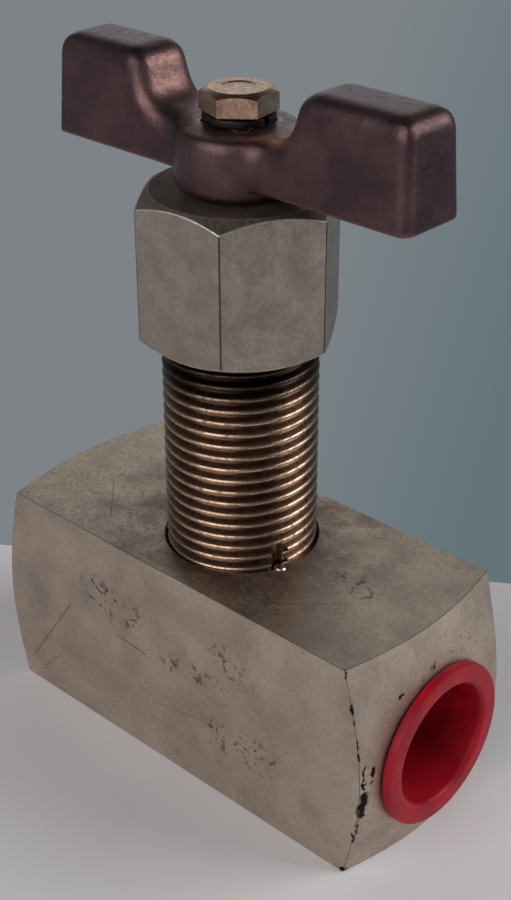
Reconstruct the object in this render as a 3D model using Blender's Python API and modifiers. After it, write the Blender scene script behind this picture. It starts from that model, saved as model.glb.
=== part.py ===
"""Bar-stock needle valve with a tee handle, modelled in metres with +Z up along the stem.

The origin is the centre of the body's base, on the stem's axis. The flow runs along X: the
inlet port is at -X and the outlet port at +X. The valve is drawn closed.
"""
import math

import bmesh
import bpy
from mathutils import Euler, Matrix, Vector

MM = 0.001
INCH = 25.4 * MM

# Clearances
GAP = 0.3 * MM                       # between pieces that touch or slide
SEAT_GAP = 0.6 * MM                  # along the stem, between the needle and its seat
STACK_GAP = 0.3 * MM                 # between pieces stacked on one another
THROUGH = 1 * MM                     # how far a cutter reaches past the face it opens
SMALL_CHAMFER = 0.3 * MM             # taken off the edges of small turned pieces

# Body
BODY_LENGTH = 74.78 * MM
BODY_WIDTH = 1.25 * INCH
BODY_HEIGHT = 1.375 * INCH
PORT_HEIGHT = 0.625 * INCH           # port axis above the base
END_FLAT_RADIUS = 13.5 * MM          # flat disc left in the middle of each turned end
END_CONE_ANGLE = math.radians(20)    # the ends fall back from that disc at this angle

# Ports, half-inch taper pipe thread drawn at its major diameter
PORT_MOUTH_RADIUS = 10.6 * MM
PORT_TAPER = 1 / 32                  # loss of radius for each unit of depth
PORT_THREAD_DEPTH = 15.0 * MM
PORT_DRILL_RADIUS = 9.1 * MM
PORT_DRILL_DEPTH = 19.0 * MM
PORT_CHAMFER = 0.6 * MM
DRILL_POINT_SLOPE = math.tan(math.radians(31))

# Flow passages and seat
ORIFICE_RADIUS = 0.1875 * INCH / 2
INLET_PASSAGE_DROP = 6.3 * MM        # inlet passage below the port's axis
OUTLET_PASSAGE_RISE = 4.3 * MM       # outlet passage above the port's axis
CHAMBER_FLOOR_RISE = 1.1 * MM        # chamber floor above the port's axis
CHAMBER_DEPTH = 7.0 * MM
CHAMBER_RADIUS = 8.0 * MM
SEAT_RADIUS = 5.0 * MM
SEAT_DEPTH = 4.2 * MM
SEAT_CHAMFER_DEPTH = 1.6 * MM
NEEDLE_HALF_ANGLE = math.radians(30)

# Bonnet, 7/8-14 outside thread
GASKET_THICKNESS = 1.3 * MM
BONNET_RADIUS = 0.875 * INCH / 2
BONNET_PITCH = INCH / 14
BONNET_THREAD_DEPTH = 1.05 * MM
EXPOSED_THREAD = 32.3 * MM           # between the body's top and the nut
ENGAGED_THREAD = 12.8 * MM           # inside the nut
BONNET_MOUTH_CHAMFER = 0.5 * MM
LOCK_PIN_RADIUS = 1.0 * MM
LOCK_PIN_AZIMUTH = math.radians(-17)
LOCK_PIN_LEDGE = 2.5 * MM            # thread left below the pin
LOCK_PIN_SINK = 0.1 * MM             # its top below the body's top face
LOCK_NOTCH_HEIGHT = 3.2 * MM         # the drilled notch above the body's top face

# Stem, 7/16-20 thread
STEM_THREAD_RADIUS = 0.4375 * INCH / 2
STEM_PITCH = INCH / 20
STEM_TURNS = 5
STEM_SHANK_RADIUS = 0.375 * INCH / 2
STEM_SQUARE = 7.2 * MM               # across the flats that drive the handle
STEM_TIP_DROP = 0.5 * MM             # the stem's top sits this far below the hub's top
SKIRT_RADIUS = 5.2 * MM
SKIRT_RISE = 1.5 * MM                # skirt's lower rim above the bonnet's lower end
SKIRT_LENGTH = 8.6 * MM

# Non-rotating needle
NEEDLE_RADIUS = 3.7 * MM
NEEDLE_TIP_RADIUS = 0.7 * MM
NEEDLE_NECK_RADIUS = 2.4 * MM
NEEDLE_HEAD_RADIUS = 3.3 * MM
NEEDLE_HEAD_HEIGHT = 2.0 * MM
RETAINER_HEIGHT = 1.2 * MM
BALL_RADIUS = 0.125 * INCH / 2
BALL_CUP_DEPTH = 0.9 * MM

# Packing, stacked upwards from the floor of its chamber
PACKING_DEPTH = 16.0 * MM            # chamber floor below the bonnet's top
PACKING_SHELF = 2.4 * MM             # wall between the chamber and the back seat
PACKING_SECTION = 2.6 * MM           # width of a ring between the stem hole and the chamber wall
PACKING_BASE_HEIGHT = 1.2 * MM
PACKING_RING_HEIGHT = 2.4 * MM
PACKING_RINGS = ("lower", "middle", "upper")
CHEVRON_RISE = 0.7 * MM
GLAND_FLANGE_CLEARANCE = 1.6 * MM    # between the flange and the nut's bore
GLAND_FLANGE_HEIGHT = 2.6 * MM

# Packing nut
NUT_ACROSS_FLATS = 1.0 * INCH
NUT_HEIGHT = 21.6 * MM
NUT_WEB = 4.0 * MM
NUT_FACE_RADIUS = 12.2 * MM
NUT_CHAMFER_ANGLE = math.radians(30)
NUT_CORNER_ANGLE = math.radians(3.1)
WIPER_SECTION_RADIUS = 0.65 * MM

# Tee handle
HANDLE_LIFT = 0.3 * MM               # hub above the nut with the valve closed
HUB_RADIUS = 8.75 * MM
HUB_HEIGHT = 8.7 * MM
HUB_EDGE = 0.6 * MM
WING_RISE = 2.1 * MM                 # underside of the wings above the hub's underside
WING_HEIGHT = 14.0 * MM
WING_SPAN = 62.2 * MM
WING_OFFSET = 0.9 * MM               # middle of the cast wings from the hub's axis
WING_THICKNESS = 11.2 * MM
WING_DRAFT = 0.7 * MM                # lost from each side and each end, bottom to top
WING_EDGE = 2.5 * MM                 # rounding of the upper edges
WING_CORNER = 1.6 * MM               # rounding of the upright edges
SCOOP_START = 14.0 * MM              # where the top of a wing starts to fall to the hub
SCOOP_FOOT = 11.9 * MM               # where it turns in to the hub's top
SCOOP_FILLET = 3.3 * MM
SCOOP_ARC = (-10, -90)               # degrees over which the fillet turns in to the hub's top

# Handle screw, number 10, and its washer
SCREW_RADIUS = 2.4 * MM
SCREW_LENGTH = 12.0 * MM
SCREW_HEAD_ACROSS_FLATS = 9.1 * MM
SCREW_HEAD_HEIGHT = 3.0 * MM
SCREW_HEAD_FACE_RADIUS = 3.9 * MM
SCREW_HEAD_ANGLE = math.radians(-20)
SCREW_HEAD_CHAMFER = math.radians(28)
WASHER_RADIUS = 4.9 * MM
WASHER_THICKNESS = 0.9 * MM
WASHER_SPLIT = 0.8 * MM

# Push-in port caps
CAP_FLANGE_RADIUS = 12.4 * MM
CAP_FLANGE_THICKNESS = 1.3 * MM
CAP_PLUG_DEPTH = 12.5 * MM
CAP_WALL = 1.1 * MM
CAP_LEAD_CHAMFER = 1.0 * MM

# Facets round a full turn
COARSE = 24
FINE = 32
ENDS = 64

# Derived radii
STEM_HOLE_RADIUS = STEM_SHANK_RADIUS + GAP
THREAD_HOLE_RADIUS = STEM_THREAD_RADIUS + GAP
SKIRT_BORE_RADIUS = NEEDLE_HEAD_RADIUS + 2 * GAP
PACKING_RADIUS = STEM_HOLE_RADIUS + PACKING_SECTION
BONNET_HOLE_RADIUS = BONNET_RADIUS + GAP

# Derived heights inside the body, from the port's axis
INLET_PASSAGE_HEIGHT = PORT_HEIGHT - INLET_PASSAGE_DROP
OUTLET_PASSAGE_HEIGHT = PORT_HEIGHT + OUTLET_PASSAGE_RISE
CHAMBER_FLOOR = PORT_HEIGHT + CHAMBER_FLOOR_RISE
BONNET_SHOULDER = CHAMBER_FLOOR + CHAMBER_DEPTH
BONNET_BOTTOM = BONNET_SHOULDER + GASKET_THICKNESS + 2 * STACK_GAP
SKIRT_BOTTOM = BONNET_BOTTOM + SKIRT_RISE
STEM_THREAD_START = SKIRT_BOTTOM + SKIRT_LENGTH
LOCK_PIN_BOTTOM = BONNET_BOTTOM + LOCK_PIN_LEDGE

# Derived heights above the body, from its top
NUT_BOTTOM = BODY_HEIGHT + EXPOSED_THREAD
NUT_TOP = NUT_BOTTOM + NUT_HEIGHT
BONNET_TOP = NUT_BOTTOM + ENGAGED_THREAD
PACKING_FLOOR = BONNET_TOP - PACKING_DEPTH
STEM_TRAVEL = STEM_PITCH * STEM_TURNS
BACK_SEAT = PACKING_FLOOR - PACKING_SHELF - (STEM_THREAD_RADIUS - STEM_SHANK_RADIUS)
STEM_THREAD_END = BACK_SEAT - STEM_TRAVEL - GAP * math.sqrt(2)
HUB_BOTTOM = NUT_TOP + HANDLE_LIFT
HUB_TOP = HUB_BOTTOM + HUB_HEIGHT
STEM_TOP = HUB_TOP - STEM_TIP_DROP
STEM_SHOULDER = HUB_BOTTOM - STACK_GAP
WASHER_BOTTOM = HUB_TOP + STACK_GAP
SCREW_HEAD_BOTTOM = WASHER_BOTTOM + WASHER_THICKNESS + STACK_GAP


def clear_scene():
    """Remove every object, so that the model starts from an empty scene."""
    for obj in list(bpy.data.objects):
        bpy.data.objects.remove(obj, do_unlink=True)


def new_collection(name):
    collection = bpy.data.collections.new(name)
    bpy.context.scene.collection.children.link(collection)
    return collection


def new_material(name, colour, roughness, metallic):
    material = bpy.data.materials.new(name)
    material.use_nodes = True
    shader = material.node_tree.nodes["Principled BSDF"]
    shader.inputs["Base Color"].default_value = (*colour, 1.0)
    shader.inputs["Roughness"].default_value = roughness
    shader.inputs["Metallic"].default_value = metallic
    return material


def new_empty(name, location=(0, 0, 0), rotation=(0, 0, 0), parent=None):
    empty = bpy.data.objects.new(name, None)
    empty.location = location
    empty.rotation_euler = rotation
    empty.parent = parent
    PARTS.objects.link(empty)
    return empty


def new_part(name, mesh, finish, parent):
    """Add a sub-part with its own material, made from the finish (colour, roughness, metallic)."""
    part = bpy.data.objects.new(name, mesh)
    mesh.materials.append(new_material(name, *finish))
    part.parent = parent
    PARTS.objects.link(part)
    return part


def new_cutter(name, mesh, parent=None):
    """Add a shape that only cuts or joins other shapes."""
    cutter = bpy.data.objects.new(name, mesh)
    cutter.hide_render = True
    cutter.display_type = "WIRE"
    cutter.parent = parent
    CUTTERS.objects.link(cutter)
    return cutter


def combine(part, other, operation="DIFFERENCE"):
    modifier = part.modifiers.new(other.name, "BOOLEAN")
    modifier.operation = operation
    modifier.object = other
    return modifier


def turn(obj, steps):
    """Turn the profile about the object's Z axis."""
    screw = obj.modifiers.new("turn", "SCREW")
    screw.steps = steps
    screw.render_steps = steps
    screw.use_merge_vertices = True
    screw.merge_threshold = 0.01 * MM
    return obj


def profile_mesh(name, points, closed):
    """A chain of (radius, height) points, which runs down the outer side of the turned shape."""
    mesh = bpy.data.meshes.new(name)
    edges = [(i, i + 1) for i in range(len(points) - 1)]
    if closed:
        edges.append((len(points) - 1, 0))
    mesh.from_pydata([(radius, 0, height) for radius, height in points], edges, [])
    return mesh


def turned_part(name, points, finish, parent, steps=COARSE, closed=False):
    return turn(new_part(name, profile_mesh(name, points, closed), finish, parent), steps)


def turned_cutter(name, points, parent=None, steps=COARSE, closed=False):
    return turn(new_cutter(name, profile_mesh(name, points, closed), parent), steps)


def ring_profile(inner, outer, bottom, top):
    return [(outer, top), (outer, bottom), (inner, bottom), (inner, top)]


def rod_profile(radius, bottom, top):
    return [(0, top), (radius, top), (radius, bottom), (0, bottom)]


def box_mesh(name, boxes):
    """One mesh of boxes, each given as its centre and its sides."""
    shape = bmesh.new()
    for centre, sides in boxes:
        scale = Matrix.Diagonal((*sides, 1.0))
        bmesh.ops.create_cube(shape, size=1.0, matrix=Matrix.Translation(centre) @ scale)
    mesh = bpy.data.meshes.new(name)
    shape.to_mesh(mesh)
    shape.free()
    return mesh


def hexagon_mesh(name, across_flats, bottom, top, angle):
    """A hexagonal prism with one corner at the angle from +X."""
    shape = bmesh.new()
    radius = across_flats / math.sqrt(3)
    # a cone's first corner is on +Y before it is turned
    turned = Matrix.Rotation(angle - math.pi / 2, 4, "Z")
    place = Matrix.Translation((0, 0, (bottom + top) / 2)) @ turned
    bmesh.ops.create_cone(shape, cap_ends=True, segments=6, radius1=radius, radius2=radius,
                          depth=top - bottom, matrix=place)
    mesh = bpy.data.meshes.new(name)
    shape.to_mesh(mesh)
    shape.free()
    return mesh


def baked_mesh(obj):
    """The object's shape as its modifiers leave it, as a mesh of its own."""
    graph = bpy.context.evaluated_depsgraph_get()
    graph.update()
    return bpy.data.meshes.new_from_object(obj.evaluated_get(graph))


def smooth(obj, angle=math.radians(30)):
    obj.data.shade_smooth()
    obj.data.set_sharp_from_angle(angle=angle)


# ---------------------------------------------------------------- body

def end_blank():
    """The bar with both ends turned to a shallow cone about the port axis."""
    reach = BODY_WIDTH + BODY_HEIGHT
    half = BODY_LENGTH / 2
    edge = half - (reach - END_FLAT_RADIUS) * math.tan(END_CONE_ANGLE)
    points = [(0, half), (END_FLAT_RADIUS, half), (reach, edge),
              (reach, -edge), (END_FLAT_RADIUS, -half), (0, -half)]
    blank = turned_cutter("turned_ends", points, steps=ENDS)
    blank.location = (0, 0, PORT_HEIGHT)
    blank.rotation_euler = Euler((0, math.pi / 2, 0))
    return blank


def port_cutter(name, port):
    """Taper thread, drill and drill point, with Z pointing out of the port."""
    clear = 2 * THROUGH
    bottom_radius = PORT_MOUTH_RADIUS - PORT_THREAD_DEPTH * PORT_TAPER
    points = [
        (0, clear),
        (PORT_MOUTH_RADIUS + PORT_CHAMFER + clear, clear),
        (PORT_MOUTH_RADIUS, -PORT_CHAMFER),
        (bottom_radius, -PORT_THREAD_DEPTH),
        (PORT_DRILL_RADIUS, -PORT_THREAD_DEPTH),
        (PORT_DRILL_RADIUS, -PORT_DRILL_DEPTH),
        (0, -PORT_DRILL_DEPTH - PORT_DRILL_RADIUS * DRILL_POINT_SLOPE),
    ]
    return turned_cutter(name, points, parent=port)


def passage_cutter(name, height, start, end):
    """A drilled flow passage along X."""
    cutter = turned_cutter(name, rod_profile(ORIFICE_RADIUS, start, end), steps=16)
    cutter.location = (0, 0, height)
    cutter.rotation_euler = Euler((0, math.pi / 2, 0))
    return cutter


def bonnet_bore_cutter():
    """Bonnet thread, chamber, seat pocket and flow hole, drilled down the stem's axis."""
    bore = BONNET_HOLE_RADIUS
    pocket = SEAT_RADIUS + GAP
    above = BODY_HEIGHT + THROUGH
    points = [
        (0, above),
        (bore + BONNET_MOUTH_CHAMFER + THROUGH, above),
        (bore, BODY_HEIGHT - BONNET_MOUTH_CHAMFER),
        (bore, BONNET_SHOULDER),
        (CHAMBER_RADIUS, BONNET_SHOULDER),
        (CHAMBER_RADIUS, CHAMBER_FLOOR),
        (pocket, CHAMBER_FLOOR),
        (pocket, CHAMBER_FLOOR - SEAT_DEPTH - STACK_GAP),
        (ORIFICE_RADIUS, CHAMBER_FLOOR - SEAT_DEPTH - STACK_GAP),
        (ORIFICE_RADIUS, INLET_PASSAGE_HEIGHT),
        (0, INLET_PASSAGE_HEIGHT),
    ]
    return turned_cutter("bonnet_bore", points, steps=FINE)


def lock_pin_place():
    x = BONNET_RADIUS * math.cos(LOCK_PIN_AZIMUTH)
    y = BONNET_RADIUS * math.sin(LOCK_PIN_AZIMUTH)
    return Vector((x, y, 0))


def lock_pin_hole():
    """Drilled half in the body and half in the bonnet, so that the pin stops the bonnet turning."""
    bottom = LOCK_PIN_BOTTOM - STACK_GAP
    profile = rod_profile(LOCK_PIN_RADIUS + GAP, bottom, BODY_HEIGHT + LOCK_NOTCH_HEIGHT)
    hole = turned_cutter("lock_pin_hole", profile, steps=12)
    hole.location = lock_pin_place()
    return hole


def build_body(frame, ports, pin_hole):
    centre = (0, 0, BODY_HEIGHT / 2)
    mesh = box_mesh("valve_body", [(centre, (BODY_LENGTH + 2 * THROUGH, BODY_WIDTH, BODY_HEIGHT))])
    body = new_part("valve_body", mesh, ((0.20, 0.18, 0.15), 0.42, 0.9), frame)
    combine(body, end_blank(), "INTERSECT")
    for side, port in ports.items():
        combine(body, port_cutter(f"{side}_port_bore", port))
    combine(body, bonnet_bore_cutter())
    into_port = BODY_LENGTH / 2 - PORT_DRILL_DEPTH
    inlet_end = ORIFICE_RADIUS * 1.2
    combine(body, passage_cutter("inlet_passage", INLET_PASSAGE_HEIGHT, -into_port, inlet_end))
    combine(body, passage_cutter("outlet_passage", OUTLET_PASSAGE_HEIGHT, 0, into_port))
    combine(body, pin_hole)
    return body


# ---------------------------------------------------------------- bonnet

def thread_depth_at(x, y, z, pitch, depth):
    """Loss of radius at a point on a right-hand thread: flat crest, flat root, straight flanks."""
    turn_share = math.atan2(y, x) / (2 * math.pi)
    phase = (z / pitch - turn_share) % 1.0
    from_crest = abs(phase - 0.5)
    return depth * min(max(4 * from_crest - 0.5, 0.0), 1.0)


def bonnet_mesh():
    """The bonnet's outside, with its thread where it shows between the body and the nut."""
    low = BODY_HEIGHT - BONNET_PITCH
    high = NUT_BOTTOM + BONNET_PITCH
    rows = round((high - low) / BONNET_PITCH * 4)
    heights = [high - (high - low) * i / rows for i in range(rows + 1)]
    points = [(0, BONNET_TOP), (BONNET_RADIUS - BONNET_MOUTH_CHAMFER, BONNET_TOP),
              (BONNET_RADIUS, BONNET_TOP - BONNET_MOUTH_CHAMFER)]
    points += [(BONNET_RADIUS, height) for height in heights]
    points += [(BONNET_RADIUS, BONNET_BOTTOM), (0, BONNET_BOTTOM)]
    blank = turned_cutter("bonnet_blank", points)
    mesh = baked_mesh(blank)
    bpy.data.objects.remove(blank)
    for vertex in mesh.vertices:
        x, y, z = vertex.co
        if low < z < high:
            radius = math.hypot(x, y)
            depth = thread_depth_at(x, y, z, BONNET_PITCH, BONNET_THREAD_DEPTH)
            vertex.co = (x * (radius - depth) / radius, y * (radius - depth) / radius, z)
    return mesh


def build_bonnet(frame, pin_hole):
    bonnet = new_part("bonnet", bonnet_mesh(), ((0.24, 0.17, 0.13), 0.38, 0.95), frame)
    points = [
        (0, BONNET_TOP + THROUGH),
        (PACKING_RADIUS + GAP, BONNET_TOP + THROUGH),
        (PACKING_RADIUS + GAP, PACKING_FLOOR),
        (STEM_HOLE_RADIUS, PACKING_FLOOR),
        (STEM_HOLE_RADIUS, BACK_SEAT + THREAD_HOLE_RADIUS - STEM_HOLE_RADIUS),
        (THREAD_HOLE_RADIUS, BACK_SEAT),
        (THREAD_HOLE_RADIUS, BONNET_BOTTOM - THROUGH),
        (0, BONNET_BOTTOM - THROUGH),
    ]
    combine(bonnet, turned_cutter("stem_bore", points))
    combine(bonnet, pin_hole)
    return bonnet


def build_bonnet_fixings(frame):
    bottom = BONNET_SHOULDER + STACK_GAP
    profile = ring_profile(CHAMBER_RADIUS, BONNET_RADIUS, bottom, bottom + GASKET_THICKNESS)
    copper = ((0.45, 0.20, 0.10), 0.35, 1.0)
    turned_part("bonnet_gasket", profile, copper, frame, closed=True)
    pin_top = BODY_HEIGHT - LOCK_PIN_SINK
    steel = ((0.45, 0.42, 0.38), 0.4, 1.0)
    profile = rod_profile(LOCK_PIN_RADIUS, LOCK_PIN_BOTTOM, pin_top)
    pin = turned_part("bonnet_lock_pin", profile, steel, frame, steps=12)
    pin.location = lock_pin_place()


# ---------------------------------------------------------------- seat and needle

def build_seat(frame):
    """Soft seat insert with a chamfer that matches the needle's cone."""
    top = CHAMBER_FLOOR
    bottom = top - SEAT_DEPTH
    rim = ORIFICE_RADIUS + SEAT_CHAMFER_DEPTH * math.tan(NEEDLE_HALF_ANGLE)
    points = [(rim, top), (SEAT_RADIUS, top), (SEAT_RADIUS, bottom), (ORIFICE_RADIUS, bottom),
              (ORIFICE_RADIUS, top - SEAT_CHAMFER_DEPTH)]
    turned_part("seat_insert", points, ((0.72, 0.66, 0.52), 0.5, 0.0), frame, closed=True)


def build_needle(needle_axis):
    """Needle, ball and retainer: the needle rises with the stem but doesn't turn."""
    slope = math.tan(NEEDLE_HALF_ANGLE)
    chamfer_bottom = CHAMBER_FLOOR - SEAT_CHAMFER_DEPTH
    cone_root = chamfer_bottom - ORIFICE_RADIUS / slope + SEAT_GAP
    tip = cone_root + NEEDLE_TIP_RADIUS / slope
    shoulder = cone_root + NEEDLE_RADIUS / slope
    retainer_bottom = SKIRT_BOTTOM + STACK_GAP
    neck_bottom = retainer_bottom - STACK_GAP
    head_bottom = retainer_bottom + RETAINER_HEIGHT + STACK_GAP
    head_top = head_bottom + NEEDLE_HEAD_HEIGHT
    points = [
        (0, head_top - BALL_CUP_DEPTH),
        (BALL_RADIUS + GAP, head_top),
        (NEEDLE_HEAD_RADIUS, head_top),
        (NEEDLE_HEAD_RADIUS, head_bottom),
        (NEEDLE_NECK_RADIUS, head_bottom),
        (NEEDLE_NECK_RADIUS, neck_bottom),
        (NEEDLE_RADIUS, neck_bottom),
        (NEEDLE_RADIUS, shoulder),
        (NEEDLE_TIP_RADIUS, tip),
        (0, tip),
    ]
    stainless = ((0.50, 0.49, 0.47), 0.25, 1.0)
    turned_part("needle_tip", points, stainless, needle_axis)
    ball_height = head_top - BALL_CUP_DEPTH + GAP + BALL_RADIUS * math.sqrt(2)
    return retainer_bottom, ball_height


def build_stem_fittings(stem_axis, retainer_bottom, ball_height):
    bronze = ((0.40, 0.24, 0.12), 0.4, 1.0)
    profile = ring_profile(NEEDLE_NECK_RADIUS + GAP, SKIRT_BORE_RADIUS - GAP,
                           retainer_bottom, retainer_bottom + RETAINER_HEIGHT)
    turned_part("needle_retainer", profile, bronze, stem_axis, closed=True)
    shape = bmesh.new()
    bmesh.ops.create_uvsphere(shape, u_segments=16, v_segments=10, radius=BALL_RADIUS)
    mesh = bpy.data.meshes.new("thrust_ball")
    shape.to_mesh(mesh)
    shape.free()
    ball = new_part("thrust_ball", mesh, ((0.55, 0.55, 0.55), 0.12, 1.0), stem_axis)
    ball.location = (0, 0, ball_height)


# ---------------------------------------------------------------- stem

def flats_cutter(name, across, radius, bottom, top):
    """Four boxes that leave a square on a round shank."""
    depth = radius
    inner = across * 0.999           # keeps the boxes' side faces out of one another's planes
    offset = across / 2 + depth / 2
    height = top - bottom
    middle = (bottom + top) / 2
    boxes = []
    for side in (-1, 1):
        boxes.append(((side * offset, 0, middle), (depth, 4 * radius, height)))
        boxes.append(((0, side * offset, middle), (inner, depth, height)))
    return new_cutter(name, box_mesh(name, boxes))


def build_stem(stem_axis, ball_height):
    cone = STEM_THREAD_RADIUS - STEM_SHANK_RADIUS
    relief = STEM_THREAD_RADIUS - SKIRT_RADIUS
    bore = SCREW_RADIUS + GAP
    bore_bottom = SCREW_HEAD_BOTTOM - SCREW_LENGTH - STACK_GAP
    roof = ball_height + BALL_RADIUS + STACK_GAP
    points = [
        (0, bore_bottom),
        (bore, bore_bottom),
        (bore, STEM_TOP),
        (STEM_SHANK_RADIUS - SMALL_CHAMFER, STEM_TOP),
        (STEM_SHANK_RADIUS, STEM_TOP - SMALL_CHAMFER),
        (STEM_SHANK_RADIUS, STEM_THREAD_END + cone),
        (STEM_THREAD_RADIUS, STEM_THREAD_END),
        (STEM_THREAD_RADIUS, STEM_THREAD_START),
        (SKIRT_RADIUS, STEM_THREAD_START - relief),
        (SKIRT_RADIUS, SKIRT_BOTTOM),
        (SKIRT_BORE_RADIUS, SKIRT_BOTTOM),
        (SKIRT_BORE_RADIUS, roof),
        (0, roof),
    ]
    steel = ((0.38, 0.36, 0.33), 0.3, 1.0)
    stem = turned_part("stem", points, steel, stem_axis)
    above = STEM_TOP + THROUGH
    flats = flats_cutter("stem_flats", STEM_SQUARE, STEM_SHANK_RADIUS, STEM_SHOULDER, above)
    combine(stem, flats)
    return stem


# ---------------------------------------------------------------- packing

def build_packing(frame):
    """Base washer, three chevron rings and the gland that the nut presses on them."""
    inner = STEM_HOLE_RADIUS
    middle = (inner + PACKING_RADIUS) / 2
    steel = ((0.42, 0.40, 0.37), 0.35, 1.0)
    bottom = PACKING_FLOOR + STACK_GAP
    top = bottom + PACKING_BASE_HEIGHT
    points = [(inner, top), (middle, top + CHEVRON_RISE), (PACKING_RADIUS, top),
              (PACKING_RADIUS, bottom), (inner, bottom)]
    turned_part("packing_base", points, steel, frame, closed=True)
    bottom = top + STACK_GAP
    for place in PACKING_RINGS:
        top = bottom + PACKING_RING_HEIGHT
        points = [(inner, top), (middle, top + CHEVRON_RISE), (PACKING_RADIUS, top),
                  (PACKING_RADIUS, bottom), (middle, bottom + CHEVRON_RISE), (inner, bottom)]
        ptfe = ((0.80, 0.79, 0.75), 0.45, 0.0)
        turned_part(f"packing_ring_{place}", points, ptfe, frame, closed=True)
        bottom = top + STACK_GAP
    return bottom


def build_gland(frame, bottom):
    """Sleeve with a flange under the nut's web."""
    flange_top = NUT_TOP - NUT_WEB - STACK_GAP
    flange_bottom = flange_top - GLAND_FLANGE_HEIGHT
    flange = BONNET_HOLE_RADIUS - GLAND_FLANGE_CLEARANCE
    inner = STEM_HOLE_RADIUS
    middle = (inner + PACKING_RADIUS) / 2
    points = [
        (inner, flange_top),
        (flange, flange_top),
        (flange, flange_bottom),
        (PACKING_RADIUS, flange_bottom),
        (PACKING_RADIUS, bottom),
        (middle, bottom + CHEVRON_RISE),
        (inner, bottom),
    ]
    steel = ((0.40, 0.38, 0.35), 0.35, 1.0)
    turned_part("packing_gland", points, steel, frame, closed=True)


# ---------------------------------------------------------------- packing nut

def chamfer_blank(name, face_radius, angle, bottom, top, both_ends):
    """A turned shape that takes the corners off a hexagon's ends."""
    reach = 2 * face_radius
    fall = (reach - face_radius) * math.tan(angle)
    points = [(0, top), (face_radius, top), (reach, top - fall)]
    if both_ends:
        points += [(reach, bottom + fall), (face_radius, bottom), (0, bottom)]
    else:
        points += [(reach, bottom - THROUGH), (0, bottom - THROUGH)]
    return turned_cutter(name, points, steps=48)


def build_nut(frame):
    corner = NUT_CORNER_ANGLE
    mesh = hexagon_mesh("packing_nut", NUT_ACROSS_FLATS, NUT_BOTTOM, NUT_TOP, corner)
    nut = new_part("packing_nut", mesh, ((0.22, 0.19, 0.16), 0.45, 0.9), frame)
    blank = chamfer_blank("nut_chamfer", NUT_FACE_RADIUS, NUT_CHAMFER_ANGLE,
                          NUT_BOTTOM, NUT_TOP, both_ends=True)
    combine(nut, blank, "INTERSECT")
    web = NUT_TOP - NUT_WEB
    groove_radius = STEM_HOLE_RADIUS + 2 * WIPER_SECTION_RADIUS + 2 * GAP
    groove_half = WIPER_SECTION_RADIUS + GAP
    groove = NUT_TOP - NUT_WEB / 2
    bore = BONNET_HOLE_RADIUS
    points = [
        (0, NUT_TOP + THROUGH),
        (STEM_HOLE_RADIUS, NUT_TOP + THROUGH),
        (STEM_HOLE_RADIUS, groove + groove_half),
        (groove_radius, groove + groove_half),
        (groove_radius, groove - groove_half),
        (STEM_HOLE_RADIUS, groove - groove_half),
        (STEM_HOLE_RADIUS, web),
        (bore, web),
        (bore, NUT_BOTTOM + BONNET_MOUTH_CHAMFER),
        (bore + BONNET_MOUTH_CHAMFER, NUT_BOTTOM),
        (bore + BONNET_MOUTH_CHAMFER, NUT_BOTTOM - THROUGH),
        (0, NUT_BOTTOM - THROUGH),
    ]
    combine(nut, turned_cutter("nut_bore", points, steps=FINE))
    build_wiper(frame, groove)
    return nut


def build_wiper(frame, height):
    """O-ring that keeps dirt out of the nut's stem hole."""
    section = []
    centre = STEM_HOLE_RADIUS + GAP + WIPER_SECTION_RADIUS
    for k in range(8):
        angle = -2 * math.pi * k / 8
        section.append((centre + WIPER_SECTION_RADIUS * math.cos(angle),
                        height + WIPER_SECTION_RADIUS * math.sin(angle)))
    turned_part("stem_wiper", section, ((0.02, 0.02, 0.02), 0.6, 0.0), frame, closed=True)


# ---------------------------------------------------------------- handle

def arc_points(centre, radius, start, end, count):
    """Points on an arc between two angles in degrees, both ends included."""
    points = []
    for k in range(count + 1):
        angle = math.radians(start + (end - start) * k / count)
        points.append((centre[0] + radius * math.cos(angle), centre[1] + radius * math.sin(angle)))
    return points


def handle_outline():
    """The wings seen from the front, as (x, z) points anticlockwise from the hub's right."""
    bottom = HUB_BOTTOM + WING_RISE
    top = bottom + WING_HEIGHT
    hollow = arc_points((SCOOP_FOOT - SCOOP_FILLET, HUB_TOP + SCOOP_FILLET),
                        SCOOP_FILLET, *SCOOP_ARC, 4)
    outline = []
    for side in (1, -1):
        end = WING_SPAN / 2 + side * WING_OFFSET
        wing = [(end, bottom), (end - WING_DRAFT, top), (SCOOP_START, top)] + hollow
        wing = [(side * x, z) for x, z in wing]
        outline += wing if side == 1 else wing[::-1]
    return outline


def weigh_edges(mesh, bottom, corner_share):
    """Weight a wing's edges for rounding: none below, less for upright corners, full above."""
    shape = bmesh.new()
    shape.from_mesh(mesh)
    weights = shape.edges.layers.float.new("bevel_weight_edge")
    for edge in shape.edges:
        first, second = (vertex.co for vertex in edge.verts)
        if edge.calc_face_angle(0) < math.radians(60) or max(first.z, second.z) < bottom + GAP:
            continue
        upright = abs(first.z - second.z) > WING_HEIGHT / 2
        edge[weights] = corner_share if upright else 1.0
    shape.to_mesh(mesh)
    shape.free()


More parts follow.
